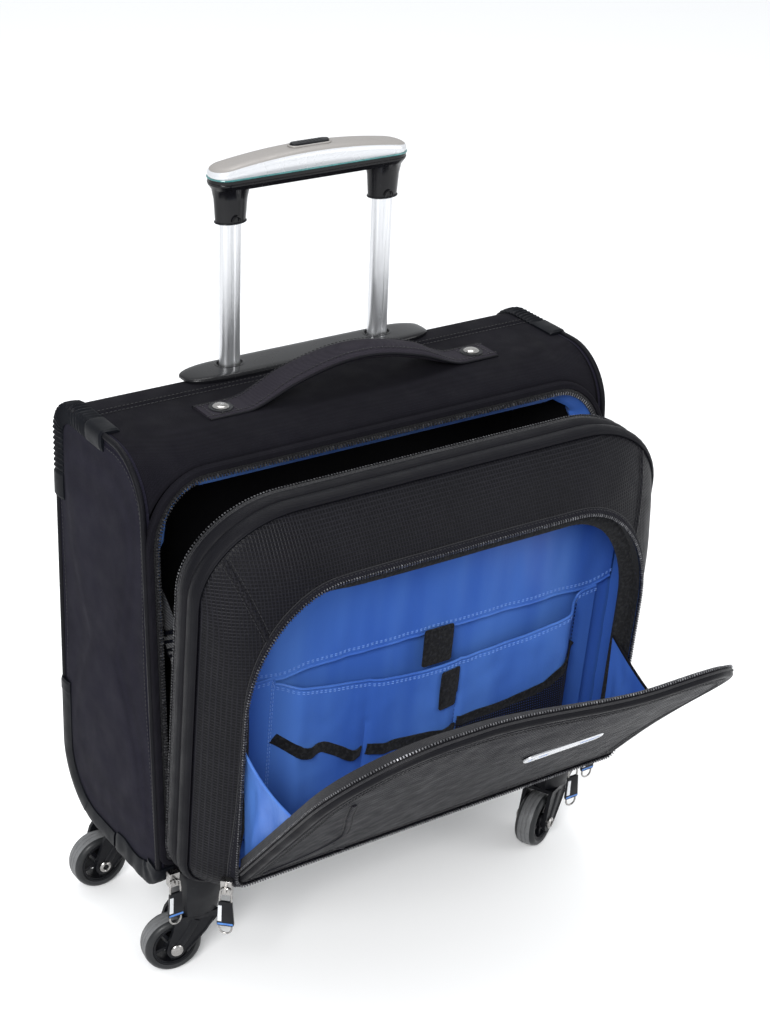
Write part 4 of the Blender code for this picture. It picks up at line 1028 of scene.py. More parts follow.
def make_carry_handle():
    """A padded grip that springs from two flat riveted feet."""
    stations = []
    for x in np.r_[np.linspace(0.128, 0.1, 9), np.linspace(0.096, 0.0, 26)]:
        t = max(0.0, 1 - x / 0.096)
        lift = 0.0205 * math.sin(t * math.pi / 2) ** 1.35
        fat = min(1.0, t / 0.42)
        fat = fat * fat * (3 - 2 * fat)
        stations.append((x, lift, 0.0030 + 0.0072 * fat, 0.0130 + 0.0006 * fat, fat))
    stations += [(-x, lift, thick, half, fat) for x, lift, thick, half, fat in reversed(stations[:-1])]
    loops, rims = [], ([], [])
    for x, lift, thick, half, fat in stations:
        loop = []
        power = 0.55 + 0.35 * fat
        mid = HANDLE_BASE + lift + thick / 2
        for t in np.linspace(0, 2 * math.pi, 24, endpoint=False):
            c, s = math.cos(t), math.sin(t)
            puff = 1 + 0.04 * fat * waves(x, s, 40, 3.0)
            y = HANDLE_Y + half * math.copysign(abs(c) ** power, c)
            z = mid + thick / 2 * math.copysign(abs(s) ** (power * 0.9), s) * puff
            loop.append((x, y, max(z, HANDLE_BASE + 0.00005)))
        loops.append(loop)
        for rim, way in zip(rims, (-1, 1)):
            rim.append((x, HANDLE_Y + way * (half + 0.0002), mid))
    shape = Shape().loft(loops)
    for rim, way in zip(rims, (-1, 1)):
        shape.tube(resample(rim, 0.003), 0.0011, (0, 0, 1), 8, look=1)
        inner = [(x, y - way * 0.0032, z) for x, y, z in rim]
        top = [
            (x, y, HANDLE_BASE + lift + thick * (1.0 if fat < 0.3 else 0.93) + 0.0001)
            for (x, y, _), (_, lift, thick, _, fat) in zip(inner, stations)
        ]
        stitches(shape, top, (0, 0, 1), 2)
    for sign in (-1, 1):
        for dx in (0.0, 0.0075, 0.0205):
            seam = [
                (
                    sign * (0.1235 - dx), HANDLE_Y + y, HANDLE_BASE + 0.00315
                ) for y in np.linspace(-0.0098, 0.0098, 8)
            ]
            stitches(shape, seam, (0, 0, 1), 2)
    obj = piece(
        "carry_grip",
        shape,
        CASE,
        "case",
        [FIN["handle_cloth"], FIN["band"], FIN["thread"]],
        ("carry_handle",),
        60,
    )
    for side, sign in SIDES:

        def place(a, b, along, sign=sign):
            return (sign * 0.112 + a, HANDLE_Y + b, HANDLE_BASE + 0.0030 + along)

        washer = [
            (0.0, 0.0001), (0.0088, 0.0001), (0.0092, 0.0004), (0.0088, 0.0008), (0.0050, 0.0009),
            (0.0, 0.0009)
        ]
        dome = [
            (0.0, 0.0008), (0.0060, 0.0008), (0.0062, 0.0012), (0.0055, 0.0019), (0.0040, 0.0026),
            (0.0020, 0.0030), (0.0, 0.0031)
        ]
        shape = Shape().turned(washer, 40, place, 1).turned(dome, 40, place, 0)
        piece(
            f"rivet_{side}",
            shape,
            CASE,
            "case",
            [FIN["nickel"], FIN["black"]],
            (f"handle_rivet_{side}",),
        )


make_side_panels()
make_top_panel()
make_back_and_base()
make_front_border()
make_guards()
make_carry_handle()


# ---------------------------------------------------------------- trolley


def make_tubes():
    for stage, size, body in (
        ("inner", INNER_TUBE, "trolley_top"),
        ("middle", MIDDLE_TUBE, "trolley_middle"),
        ("outer", OUTER_TUBE, "case"),
    ):
        slim = (size[0] - 0.0024, size[1] - 0.0024)
        groove = 0.0006 if stage != "outer" else 0.0
        for side, sign in SIDES:
            low, high = (c.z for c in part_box(f"{stage}_tube_{side}"))
            out = [(u + sign * TUBE_X, v + TUBE_Y) for u, v in oval(size, 10, groove)]
            bore = [(u + sign * TUBE_X, v + TUBE_Y) for u, v in oval(slim, 10, groove * 0.5)]
            loops = [(bore, low), (out, low), (out, low + 0.0006)]
            loops += [(out, z) for z in np.linspace(low + 0.02, high - 0.02, 6)]
            loops += [(out, high), (bore, high)]
            shape = Shape().loft([[(u, v, z) for u, v in line] for line, z in loops], ring=True)
            piece(
                f"{stage}_stage_{side}",
                shape,
                CASE,
                body,
                [FIN["nickel"] if stage == "outer" else FIN["tube"]],
                (f"{stage}_tube_{side}",),
                30,
            )


def make_bezel():
    """The glossy plate that the tubes come out of, thinned to a point at each end."""
    base, full, half = CASE_TOP + SEAM, 0.4330, 0.109
    loops = []
    for x in np.sin(np.linspace(-math.pi / 2, math.pi / 2, 49)) * half:
        t = abs(x) / half
        wide = math.sqrt(max(0.0, 1 - max(0.0, (t - 0.70) / 0.30) ** 2))
        front, rear = -0.0165 - 0.0195 * (0.30 + 0.70 * wide), -0.0165 + 0.0135 * (0.30 + 0.70 * wide)
        top = base + (full - base) * (0.40 + 0.60 * wide)
        lip = (top - base) * 0.5
        loop = [(x, front, base), (x, front, top - lip)]
        loop += [
            (x, front + lip - lip * math.cos(a), top - lip + lip * math.sin(a)) for a in (0.5, 1.0, 1.57)
        ]
        loop += [(x, front + 0.006, top + 0.0002), (x, rear - 0.006, top + 0.0002)]
        loop += [
            (x, rear - lip + lip * math.sin(a), top - lip + lip * math.cos(a)) for a in (0.0, 0.57, 1.07)
        ]
        loop += [(x, rear, top - lip), (x, rear, base)]
        loops.append(loop)
    obj = piece(
        "bezel_plate", Shape().loft(loops), CASE, "case", [FIN["gloss"]], (
            "trolley_bezel",
        ), 50
    )
    carve(obj, [oval_plug(MIDDLE_TUBE, SEAM, s * TUBE_X, base - 0.01, full + 0.01) for s in (-1, 1)])
    collars = Shape()
    for s in (-1, 1):
        ring = [(u + s * TUBE_X, v + TUBE_Y, full + 0.0002) for u, v in oval((0.0228, 0.0163), 10)]
        collars.tube(resample(ring, 0.0015, True), 0.0009, (0, 0, 1), 8, True, flat=0.35)
    piece("bezel_collars", collars, CASE, "case", [FIN["gloss"]])
    refined("trolley_foot", "case", FIN["black"], 0.0008)


GRIP_HALF, GRIP_DEPTH, GRIP_SPLIT = 0.085, 0.013, 0.581


def bar(half, depth, turns=9, flats=32):
    """The grip seen from above: a long bar with round ends."""
    flat = half - depth
    ends = [math.radians(90 * (i + 0.5) / turns) for i in range(turns)]
    front = [(flat + depth * math.cos(t), -depth * math.sin(t)) for t in ends]
    front += [(flat - 2 * flat * i / flats, -depth) for i in range(flats + 1)]
    front += [(-flat - depth * math.cos(t), -depth * math.sin(t)) for t in reversed(ends)]
    return front + [(x, -y) for x, y in reversed(front)]


def strip_cap(shape, loop, look):
    """Closes an arched end by joining each point to the one across from it."""
    n = len(loop)
    return shape.add(loop, [(i, i + 1, n - 2 - i, n - 1 - i) for i in range(n // 2 - 1)], look)


def make_grip():
    def arch(low_end, low_mid):
        return lambda x: low_end + (low_mid - low_end) * (1 - (x / GRIP_HALF) ** 2)

    def loops_at(levels):
        return [
            [(u, v + TUBE_Y, high(u)) for u, v in bar(GRIP_HALF - by, GRIP_DEPTH - by)] for by, high in levels
        ]

    split = GRIP_SPLIT + SEAM
    wall = loops_at(
        [(0.0006, lambda x: split), (0.0, lambda x: split + 0.0006), (0.0, arch(0.5835, 0.5902))]
        + [(0.0003, arch(0.5850, 0.5922)), (0.0012, arch(0.5862, 0.5936))]
    )
    lid = loops_at(
        [(0.0012, arch(0.5862, 0.5936)), (0.0022, arch(0.5869, 0.5946)), (0.0040, arch(0.5875, 0.5954))]
        + [(0.0065, arch(0.5879, 0.5959)), (0.0095, arch(0.5880, 0.5960))]
    )
    shape = Shape().loft(wall, caps=False, look=0).loft(lid, caps=False, look=1)
    strip_cap(shape, lid[-1], 1)
    obj = piece(
        "grip_shell",
        shape,
        CASE,
        "trolley_top",
        [FIN["silver"], FIN["matte"]],
        ("grip_cover",),
        60,
    )
    bm = bmesh.new()
    bm.from_mesh(obj.data)
    bmesh.ops.remove_doubles(bm, verts=bm.verts, dist=1e-6)
    bmesh.ops.recalc_face_normals(bm, faces=bm.faces)
    bm.to_mesh(obj.data)
    bm.free()
    trim = Shape()
    for by, z, radius, look in ((-0.0001, GRIP_SPLIT + 0.0002, 0.00065, 0), (0.0002, 0.5775, 0.0004, 1)):
        line = [(u, v + TUBE_Y, z) for u, v in bar(GRIP_HALF - by, GRIP_DEPTH - by)]
        trim.tube(resample(line, 0.003, True), radius, (0, 0, 1), 8, True, look)
    piece("grip_lines", trim, CASE, "trolley_top", [FIN["teal_line"], FIN["gloss"]])
    refined("grip_base", "trolley_top", FIN["gloss"], 0.0005, 30)
    shape = Shape()
    for side in (-1, 1):
        ring = [(side * TUBE_X + x, TUBE_Y + y, 0.5464) for x, y in arc((0, 0), (0.0124, 0.0086), 0, 350, 35)]
        shape.tube(ring, 0.0006, (0, 0, 1), 8, True, 0)
        dimple = [
            (side * TUBE_X + x, TUBE_Y - 0.0096, 0.5475 + z) for x,
            z in arc((0, 0), (0.0036, 0.0048), 0, 180, 12)
        ]
        shape.tube(dimple, 0.0006, (0, 1, 0), 8, False, 1)
    piece("socket_details", shape, CASE, "trolley_top", [FIN["black"], FIN["gloss"]])

    plate = Shape()
    rim = [(x, TUBE_Y + y) for x, y in oval((0.0330, 0.0078), 8)]
    plate.loft(
        [
            [
                (x, TUBE_Y + (y - TUBE_Y) * k, z) for x,
                y in [(u * (1 if k == 1 else 0.985), v) for u, v in rim]
            ]
            for k, z in ((1.0, 0.5952), (1.0, 0.5970), (0.90, 0.5982), (0.55, 0.5985))
        ],
        look=0,
    )
    for x in np.linspace(-0.009, 0.009, 7):
        plate.tube(
            [(x, TUBE_Y + y, 0.5985) for y in np.linspace(-0.0022, 0.0022, 5)], 0.0003, (0, 0, 1),
            6, look=0
        )
    piece(
        "release_plate",
        plate,
        CASE,
        "trolley_button",
        [FIN["black"]],
        ("release_button", "push_rod_left", "push_rod_right"),
    )
    rim = [(x, TUBE_Y + y, 0.5962) for x, y in oval((0.0350, 0.0096), 10)]
    ring = Shape().tube(resample(rim, 0.0015, True), 0.0009, (0, 0, 1), 8, True)
    piece("release_rim", ring, CASE, "trolley_top", [FIN["matte"]])


make_tubes()
make_bezel()
make_grip()


# ---------------------------------------------------------------- casters


def make_casters():
    for corner in CORNERS:
        swivel = Vector(JOINTS[f"swivel_{corner}"]["pos_m"])
        axle = Vector(JOINTS[f"spin_{corner}"]["pos_m"])
        heading = math.degrees(math.atan2(axle.y - swivel.y, axle.x - swivel.x))
        fork = row_frame((swivel.x, swivel.y, 0.0), heading, "Z")
        wheel = row_frame(axle, heading, "Z")
        refined(f"caster_housing_{corner}", "case", FIN["black"], 0.0006, 50)
        refined(f"caster_fork_{corner}", f"fork_{corner}", FIN["black"], 0.0007, 35)
        trim, rivets = Shape(), Shape()
        for way in (-1, 1):
            rib = [(0.0035, way * (FORK_OUT + 0.0001), 0.0475), (0.0085, way * (FORK_OUT + 0.0001), 0.0385)]
            rib += [(0.0140, way * (FORK_OUT + 0.0001), 0.0305), (TRAIL, way * (FORK_OUT + 0.0001), WHEEL_R)]
            trim.tube(resample(rib, 0.002), 0.0034, (0, way, 0), 12, flat=0.32)
            edge = [(-0.0105, 0.0455), (-0.0040, 0.0360), (0.0050, 0.0265), (0.0115, 0.0200)]
            trim.tube(resample([(u, way * FORK_OUT, v) for u, v in edge], 0.002), 0.0010, (0, way, 0), 8)

            def place(a, b, along, way=way):
                return (TRAIL + a, way * (FORK_OUT + along), WHEEL_R + b)

            hollow = corner in ("rear_left", "front_right")
            core = 0.0022 if hollow else 0.0
            head = [(core, 0.0002), (0.0050, 0.0002), (0.0050, 0.0014), (0.0043, 0.0022)]
            head += [(0.0030, 0.0028), (0.0024, 0.0024), (core, 0.0010)] if hollow else [
                (0.0026, 0.0028),
                (0.0012, 0.0031),
                (0.0, 0.0032),
            ]
            rivets.turned(head, 32, place)
        crown = [(0, 0, z) for z in (0.0521, 0.0526)]
        trim.tube(crown, 0.0125, (1, 0, 0), 28)
        piece(f"fork_ribs_{corner}", trim, fork, f"fork_{corner}", [FIN["black"]])
        piece(f"fork_rivets_{corner}", rivets, fork, f"fork_{corner}", [FIN["nickel"]])

        def spin(a, b, along):
            return (a, along, b)

        half, r = 0.009, WHEEL_R
        side = [
            (0.0176, -half + 0.0008), (0.0192, -half - 0.0001), (r - 0.0030, -half + 0.0001),
            (r - 0.0012, -half + 0.0016)
        ]
        flat = [(r - 0.0004, -half + 0.0034), (r, -half + 0.0056)]
        for at in (-0.0018, 0.0018):
            flat += [(r, at - 0.0006), (r - 0.0005, at - 0.0003), (r - 0.0005, at + 0.0003), (r, at + 0.0006)]
        flat += [(r, half - 0.0056), (r - 0.0004, half - 0.0034)]
        profile = side + flat + [(a, -b) for a, b in reversed(side)]
        tyre = Shape()
        looks = [1] * (len(side)) + [0] * (len(flat) - 1) + [1] * (len(side) + 1)
        steps = 72
        turns = np.linspace(0, 2 * math.pi, steps, endpoint=False)
        loops = [[spin(a * math.cos(t), a * math.sin(t), b) for t in turns] for a, b in profile]
        tyre.loft(loops, ring=True, looks=looks)
        piece(
            f"tyre_{corner}",
            tyre,
            wheel,
            f"wheel_{corner}",
            [FIN["tread"], FIN["tyre_side"]],
            (f"wheel_tyre_{corner}",),
            50,
        )
        refined(f"wheel_hub_{corner}", f"wheel_{corner}", FIN["black"], 0.0004, 35)
        rings = Shape()
        for way in (-1, 1):
            for radius, thick in ((0.0166, 0.0007), (0.0066, 0.0008)):
                circle = [(radius * math.cos(t), way * 0.0076, radius * math.sin(t)) for t in turns]
                rings.tube(circle, thick, (0, 1, 0), 8, True)
        piece(f"hub_rings_{corner}", rings, wheel, f"wheel_{corner}", [FIN["black"]])


make_casters()


# ---------------------------------------------------------------- organiser pod


def dense(*loops, step=0.009):
    """The loops with points added between theirs, by the same amount in each, where the first two
    are sparse.
    """
    made = [[] for _ in loops]
    n = len(loops[0])
    for i in range(n):
        j = (i + 1) % n
        long = max(np.linalg.norm(loop[j] - loop[i]) for loop in loops[:2])
        for t in np.linspace(0, 1, max(1, math.ceil(long / step)), endpoint=False):
            for out, loop in zip(made, loops):
                out.append(loop[i] + (loop[j] - loop[i]) * t)
    return [np.array(out) for out in made]


EDGE, THROAT, BOWL_A, BOWL_B, WALL = dense(
    pod_line(0.0036), arch_line(0.0), pod_line(0.010), pod_line(0.008), pod_line(0.0044)
)
GAP = np.linalg.norm(EDGE - THROAT, axis=1)


def face_at(i, t, lift=0.0):
    """A point of the pod's raised face, t of the way from its edge to the arch."""
    x, h = EDGE[i] + (THROAT[i] - EDGE[i]) * t
    puff = (0.0016 * waves(x, h, 13, 11.0) + 0.0005 * waves(x, h, 42, 4.0)) * math.sin(math.pi * t)
    dip = 0.0012 * math.exp(-((t * GAP[i] / 0.0012) ** 2))
    return (x, -(0.0276 + 0.0318 * (t + 0.12 * math.sin(math.pi * t)) + puff + lift - dip), h)


def nearest(x, h):
    return int(np.argmin(np.linalg.norm(EDGE - np.array((x, h)), axis=1)))


def make_gusset():
    turns = np.linspace(0, math.pi, 11)
    section = [(0.0040, 0.0002), (0.0010, 0.0001), (0.0006, 0.0012), (0.0006, 0.0030)]
    section += [(0.0006 - 0.0016 * math.sin(t), 0.0036 + 0.0102 * t / math.pi) for t in turns]
    section += [(0.0012, 0.0142)]
    section += [(0.0008 - 0.0020 * math.sin(t), 0.0147 + 0.0122 * t / math.pi) for t in turns]
    section += [(0.0014, 0.0272), (0.0024, 0.0280), (0.0036, 0.0276), (0.0040, 0.0266)]
    looks = [1] * 4 + [0] * (len(section) - 4)
    loops = []
    for by, d in section:
        loop = []
        for x, h in dense(pod_line(by))[0]:
            swell = 0.0003 * waves(x + d, h, 30, 8.0)
            loop.append((x * (1 + swell), -d, h + swell))
        loops.append(loop)
    shape = Shape().loft(loops, ring=True, looks=looks)
    shape.blocks(on_pod(pod_line(0.0012), -0.0003), (0, 1, 0), ZIP_STEP, ZIP_TOOTH, True, 2)
    stitches(shape, on_pod(pod_line(0.0006), 0.0022), (0, 1, 0), 3, True)
    piece(
        "pod_gusset_cloth",
        shape,
        POD,
        "pod",
        [FIN["band"], FIN["tape"], FIN["teeth"], FIN["thread"]],
        ("pod_gusset",),
        50,
    )


def make_face():
    count = range(len(EDGE))
    outer = [
        [face_at(i, t) for i in count] for t in (
            0, 0.02, 0.05, 0.1, 0.17, 0.25, 0.34, 0.43, 0.52, 0.61, 0.7, 0.79, 0.87, 0.94, 1
        )
    ]
    under = []
    for t in (1.0, 0.7, 0.4, 0.0):
        loop = []
        for i in count:
            y = face_at(i, t)[1]
            u, v = EDGE[i] + (THROAT[i] - EDGE[i]) * min(1.0, t + 0.06 * (1 - t))
            loop.append((u, y + 0.0028, v))
        under.append(loop)
    shape = Shape().loft(outer + under, ring=True, looks=[0] * (len(outer) - 1) + [1] * len(under) + [0])
    obj = piece(
        "pod_face_pad",
        shape,
        POD,
        "pod",
        [FIN["ripstop"], FIN["satin"]],
        ("pod_face",),
        60,
    )

    seams = Shape()
    for at in (pod_line(0.0036)[21], pod_line(0.0036)[38]):
        i = nearest(*at)
        ts = np.linspace(0.03, 0.93, 26)
        seams.tube([face_at(i, t, 0.0002) for t in ts], 0.0017, (0, -1, 0), 10, look=0, flat=0.55)
        for off in (-1, 1):
            line = []
            for t in ts:
                one, two = np.array(face_at(i, t, 0.0003)), np.array(
                    face_at((i + off) % len(EDGE), t, 0.0003)
                )
                way = two - one
                line.append(one + way / np.linalg.norm(way) * 0.0034)
            stitches(seams, line, (0, -1, 0), 1)
    piece("pod_face_seams", seams, POD, "pod", [FIN["ripstop"], FIN["thread"]])


def make_arch_zip():
    count = range(len(EDGE))

    def slope(width, lift):
        return [face_at(i, 1 - width / GAP[i], lift) for i in count]

    def lip(by, d):
        return on_pod(inset(THROAT, by), d)

    loops = [slope(0.0052, 0.0001), slope(0.0050, 0.0010), slope(0.0030, 0.0011), slope(0.0010, 0.0010)]
    loops += [
        lip(0.0, CREST + 0.0009), lip(0.0006, CREST + 0.0005), lip(0.0006, CREST - 0.0012),
        slope(0.0050, -0.0012)
    ]
    shape = Shape().loft(loops, ring=True, look=0)
    stitches(shape, slope(0.0042, 0.0012), (0, -1, 0), 2, True)
    shape.blocks(lip(-0.0002, CREST + 0.0010), (0, -1, 0), 0.0022, (0.0011, 0.0026, 0.0012), True, 1)
    shape.tube(slope(0.0053, 0.0004), 0.0004, (0, -1, 0), 6, True, 3)
    piece(
        "arch_zip",
        shape,
        POD,
        "pod",
        [FIN["twill"], FIN["teeth"], FIN["thread"], FIN["tape"]],
        (),
        50,
    )

    # The dark felt band inside the arch is partly the zip's real inner tape and partly painted shade: its
    # width along the arch follows the band of shade there.
    wide = np.interp(THROAT[:, 0], [-0.15, -0.09, 0.10, 0.165], [0.0060, 0.0140, 0.0140, 0.0125])
    low = np.interp(THROAT[:, 1], [0.03, 0.07, 0.15, 0.20], [0.0060, 0.0125, 0.0095, 0.0060])
    wide = np.where(THROAT[:, 0] < -0.15, low, wide)
    wide = np.where(THROAT[:, 1] < 0.035, np.minimum(wide, 0.0060), wide)
    wide += np.array([0.0008 * waves(x, h, 90, 3.0) + 0.0006 * waves(x, h, 300, 9.0) for x, h in THROAT])
    for _ in range(8):
        wide = (np.roll(wide, 1) + 2 * wide + np.roll(wide, -1)) / 4
    wide = np.maximum(wide, 0.0012)[:, None]
    rings = [
        (0.04, 0.0016), (0.06, 0.0050), (0.08, 0.0088), (0.4, 0.0086), (0.8, 0.0090), (1.0, 0.0100),
        (1.0, 0.0125)
    ]
    rings += [(0.05, 0.0128), (0.0, 0.0050)]
    loops = [lip(wide * share, CREST - down) for share, down in rings]
    felt = Shape().loft(loops, ring=True)
    piece("arch_binding_and_shade", felt, POD, "pod", [FIN["felt"]])

    start = inset(THROAT, wide * 0.96)
    loops = []
    for t, d in ((0, CREST - 0.0115), (0.12, 0.0460), (0.4, 0.0400), (0.7, 0.0315), (1.0, 0.0225)):
        line = start + (BOWL_A - start) * t
        loops.append([(x, -(d + 0.0016 * waves(x, h, 40, 2.0) * math.sin(math.pi * t)), h) for x, h in line])
    for t, d in ((0.5, 0.0190), (1.0, 0.0130), (1.0, 0.0052)):
        line = BOWL_A + (BOWL_B - BOWL_A) * t
        loops.append([(x * (1 - 0.012 * abs(waves(h, d, 60, 5.0))), -d, h) for x, h in line])
    bowl = solid_sheet(
        "organiser_bowl",
        Shape().loft(loops, caps=False),
        0.0007,
        POD,
        "pod",
        [FIN["satin"]],
        offset=0.0,
    )


def make_back_wall():
    def place(u, v, w):
        return (u, -(0.0002 + w), v)

    shape = Shape()
    cushion(
        shape, WALL, place, 0.0030, 0.0008, 14.0,
        (0.0, 0.0006, 0.0014, 0.003, 0.006, 0.012, 0.02, 0.035), 0.0016, 0, 1
    )
    obj = piece(
        "pod_back_wall",
        shape,
        POD,
        "pod",
        [FIN["satin"], FIN["lining"]],
        ("pod_back",),
    )


def pod_half(h):
    """Half the width inside the pod at a height."""
    over = max(0.0, (h - 0.249) / 0.062)
    return 0.125 + 0.078 * math.sqrt(max(0.0, 1 - over**2)) - 0.007


HEM = (
    [-0.190, -0.138, -0.115, -0.092, 0.10, 0.135, 0.170, 0.190],
    [0.158, 0.1556, 0.152, 0.1554, 0.1533, 0.1538, 0.1516, 0.157]
)


def make_curtain():
    """The blue cloth that hangs over the top of the organiser's back wall."""

    def point(x, h):
        fold = 0.0013 * waves(x * 1.0, h * 0.22, 30, 1.0) + 0.0007 * waves(x, h * 0.35, 75, 8.0)
        low = max(0.0, 1 - (h - float(np.interp(x, *HEM))) / 0.06)
        return (x, -(0.0078 + fold * (0.6 + 0.7 * low)), h)

    rows = []
    for t in np.linspace(0, 1, 30):
        row = []
        for s in np.linspace(-1, 1, 110):
            x = s * 0.190
            h = float(np.interp(x, *HEM))
            h += (0.302 - h) * t
            x = s * min(0.190, pod_half(h))
            row.append(point(x, h))
        rows.append(row)
    shape = Shape().grid(rows)
    obj = solid_sheet("upper_curtain", shape, 0.0006, POD, "pod", [FIN["satin"]], offset=0.0)
    trim = Shape()
    hem = [(x, y - 0.0002, h + 0.0002) for x, y, h in rows[0]]
    trim.tube(hem, 0.0010, (0, -1, 0), 8, look=0)
    lines = [[point(x, h + up) for x, _, h in rows[0]] for up in (0.0042, 0.0056)]
    for line in lines:
        stitches(trim, [(x, y - 0.0005, h) for x, y, h in line], (0, -1, 0), 1, step=0.0040)
    piece("curtain_hem", trim, POD, "pod", [FIN["satin"], FIN["pale_thread"]])


POCKET_TOP = (
    [-0.152, -0.1236, -0.1226, -0.083, -0.035, 0.0, 0.05, 0.10, 0.13, 0.150, 0.1575, 0.1585, 0.176],
    [0.1560, 0.1560, 0.1505, 0.1420, 0.1340, 0.1307, 0.1300, 0.1325, 0.1370, 0.1425, 0.1455, 0.1500, 0.1520],
)


def pocket_at(x, h, lift=0.0):
    """The front of the big pocket: flat margins beyond its side seams, and a soft bulge between."""
    left = min(1.0, max(0.0, (x + 0.123) / 0.020))
    right = min(1.0, max(0.0, (0.1575 - x) / 0.016))
    foot = min(1.0, max(0.0, (h - 0.016) / 0.030))
    full = min(left, right)
    full = full * full * (3 - 2 * full) * (0.35 + 0.65 * foot * (2 - foot))
    fold = 0.0012 * waves(x, h * 0.5, 28, 17.0) + 0.0007 * waves(x, h, 60, 18.0)
    seam = sum(
        0.0026 * math.exp(-(((x - at) / 0.0030) ** 2)) for at in (-0.046, 0.0385)
    ) * (1 if h < 0.10 else 0.5)
    bulge = 0.0118 - seam + 0.0014 * math.cos((x - 0.0) * 38)
    return (x, -(0.0086 + full * (bulge + fold) + lift), h)


def make_pocket():
    xs = np.r_[np.linspace(-0.152, -0.1235, 9), np.linspace(-0.1225, 0.157, 84), np.linspace(0.158, 0.176, 6)]
    rows = []
    for t in np.linspace(0, 1, 34):
        rows.append([pocket_at(x, 0.013 + (float(np.interp(x, *POCKET_TOP)) - 0.013) * t) for x in xs])
    obj = solid_sheet(
        "organiser_sheet", Shape().grid(rows), 0.0008, POD, "pod", [FIN["satin"]], (
            "organiser_pocket",
        ), 0.0
    )
    trim = Shape()
    top = [(x, y - 0.0002, h) for x, y, h in rows[-1]]
    trim.tube(top, 0.0011, (0, -1, 0), 8, look=0)
    for down in (0.0030, 0.0046):
        line = [pocket_at(x, float(np.interp(x, *POCKET_TOP)) - down, 0.0006) for x in xs]
        stitches(trim, line, (0, -1, 0), 1, step=0.0040)
    for x, low, high in (
        (-0.1232, 0.014, 0.149), (-0.1250, 0.014, 0.149), (0.1578, 0.014, 0.146),
        (-0.046, 0.014, 0.074), (0.0385, 0.014, 0.088)
    ):
        line = [pocket_at(x, h, 0.0006) for h in np.linspace(low, high, 30)]
        stitches(trim, line, (0, -1, 0), 1 if x < -0.1 else 2, step=0.0036)
    piece(
        "organiser_stitching", trim, POD, "pod",
        [FIN["satin"], FIN["pale_thread"], FIN["thread"]]
    )

    bands = Shape()

    def band(path, wide, lift, bumps=(), look=0):
        line = resample(path, 0.003)
        run = tangents(line, False)
        rows = []
        for way in (-1, -0.8, 0, 0.8, 1):
            row = []
            for (x, h), (a, b) in zip(line, run):
                up = lift + sum(tall * math.exp(-(((x - at) / 0.0062) ** 2)) for at, tall in bumps)
                u, v = x - b * wide / 2 * way, h + a * wide / 2 * way
                up -= 0.0006 if abs(way) == 1 else 0.0
                row.append(pocket_at(u, v, up))
            rows.append(row)
        back = [[(x, y + 0.0011, h) for x, y, h in row] for row in reversed(rows)]
        bands.loft([[r[k] for r in rows + back] for k in range(len(line))], look=look)

    band([(-0.1214, 0.1015), (-0.1020, 0.0880), (-0.0822, 0.0870), (-0.0620, 0.0745), (-0.0480, 0.0712)],
        0.0092,
        0.0016,
        ((-0.0960, 0.0046), (-0.0580, 0.0046)),
    )
    band(
        [(-0.0435, 0.0722), (0.0070, 0.0670), (0.0394, 0.0640)], 0.0098, 0.0024,
        ((-0.030, 0.0024), (0.024, 0.0024))
    )
    band(
        [(0.0404, 0.0715), (0.0900, 0.0720), (0.1250, 0.0790), (0.1420, 0.0900), (0.1566, 0.1060)],
        0.0080, 0.0034
    )
    piece("organiser_elastics", bands, POD, "pod", [FIN["felt"]])

    rows = []
    for t in np.linspace(0, 1, 18):
        row = []
        for x in np.linspace(0.0402, 0.1566, 40):
            top = float(
                np.interp(x, [0.040, 0.09, 0.125, 0.142, 0.157], [0.0715, 0.0720, 0.0790, 0.0900, 0.1060])
            )
            slack = 0.0022 + 0.0050 * math.sin(math.pi * (x - 0.040) / 0.117) * math.sin(
                math.pi * min(1, 0.15 + t * 0.85)
            )
            row.append(pocket_at(x, 0.018 + (top - 0.018) * t, slack + 0.0008 * waves(x, t * 0.05, 60, 3.0)))
        rows.append(row)
    mesh = solid_sheet(
        "mesh_pocket", Shape().grid(rows), 0.0006, POD, "pod", [FIN["mesh"]],
        offset=0.0
    )

    pads = Shape()
    for x0, x1, low, high, lift in (
        (0.0190, 0.0375, 0.0900, 0.1250, 0.0016), (0.0070, 0.0340, 0.1270, 0.1600, -0.0004)
    ):
        place = (lambda x, h, lift=lift: pocket_at(x, h, lift)) if lift > 0 else (
            lambda x, h: (x, -0.0125 + 0.05 * max(0, h - 0.15), h)
        )
        outline = resample(arched((x1 - x0) / 2, low, high, (0.0015, 0.0015), 0.0015, 3), 0.002, True)
        outline = outline + np.array(((x0 + x1) / 2, 0.0))
        loops = [[place(x, h) for x, h in outline]]
        middle = outline.mean(0)
        for f, up in ((1.0, 0.0010), (0.93, 0.0014), (0.6, 0.0015), (0.2, 0.0015)):
            line = middle + (outline - middle) * f
            loops.append([(a, b - up, c) for a, b, c in (place(x, h) for x, h in line)])
        pads.loft(loops)
    piece("velcro_patches", pads, POD, "pod", [FIN["felt"]])


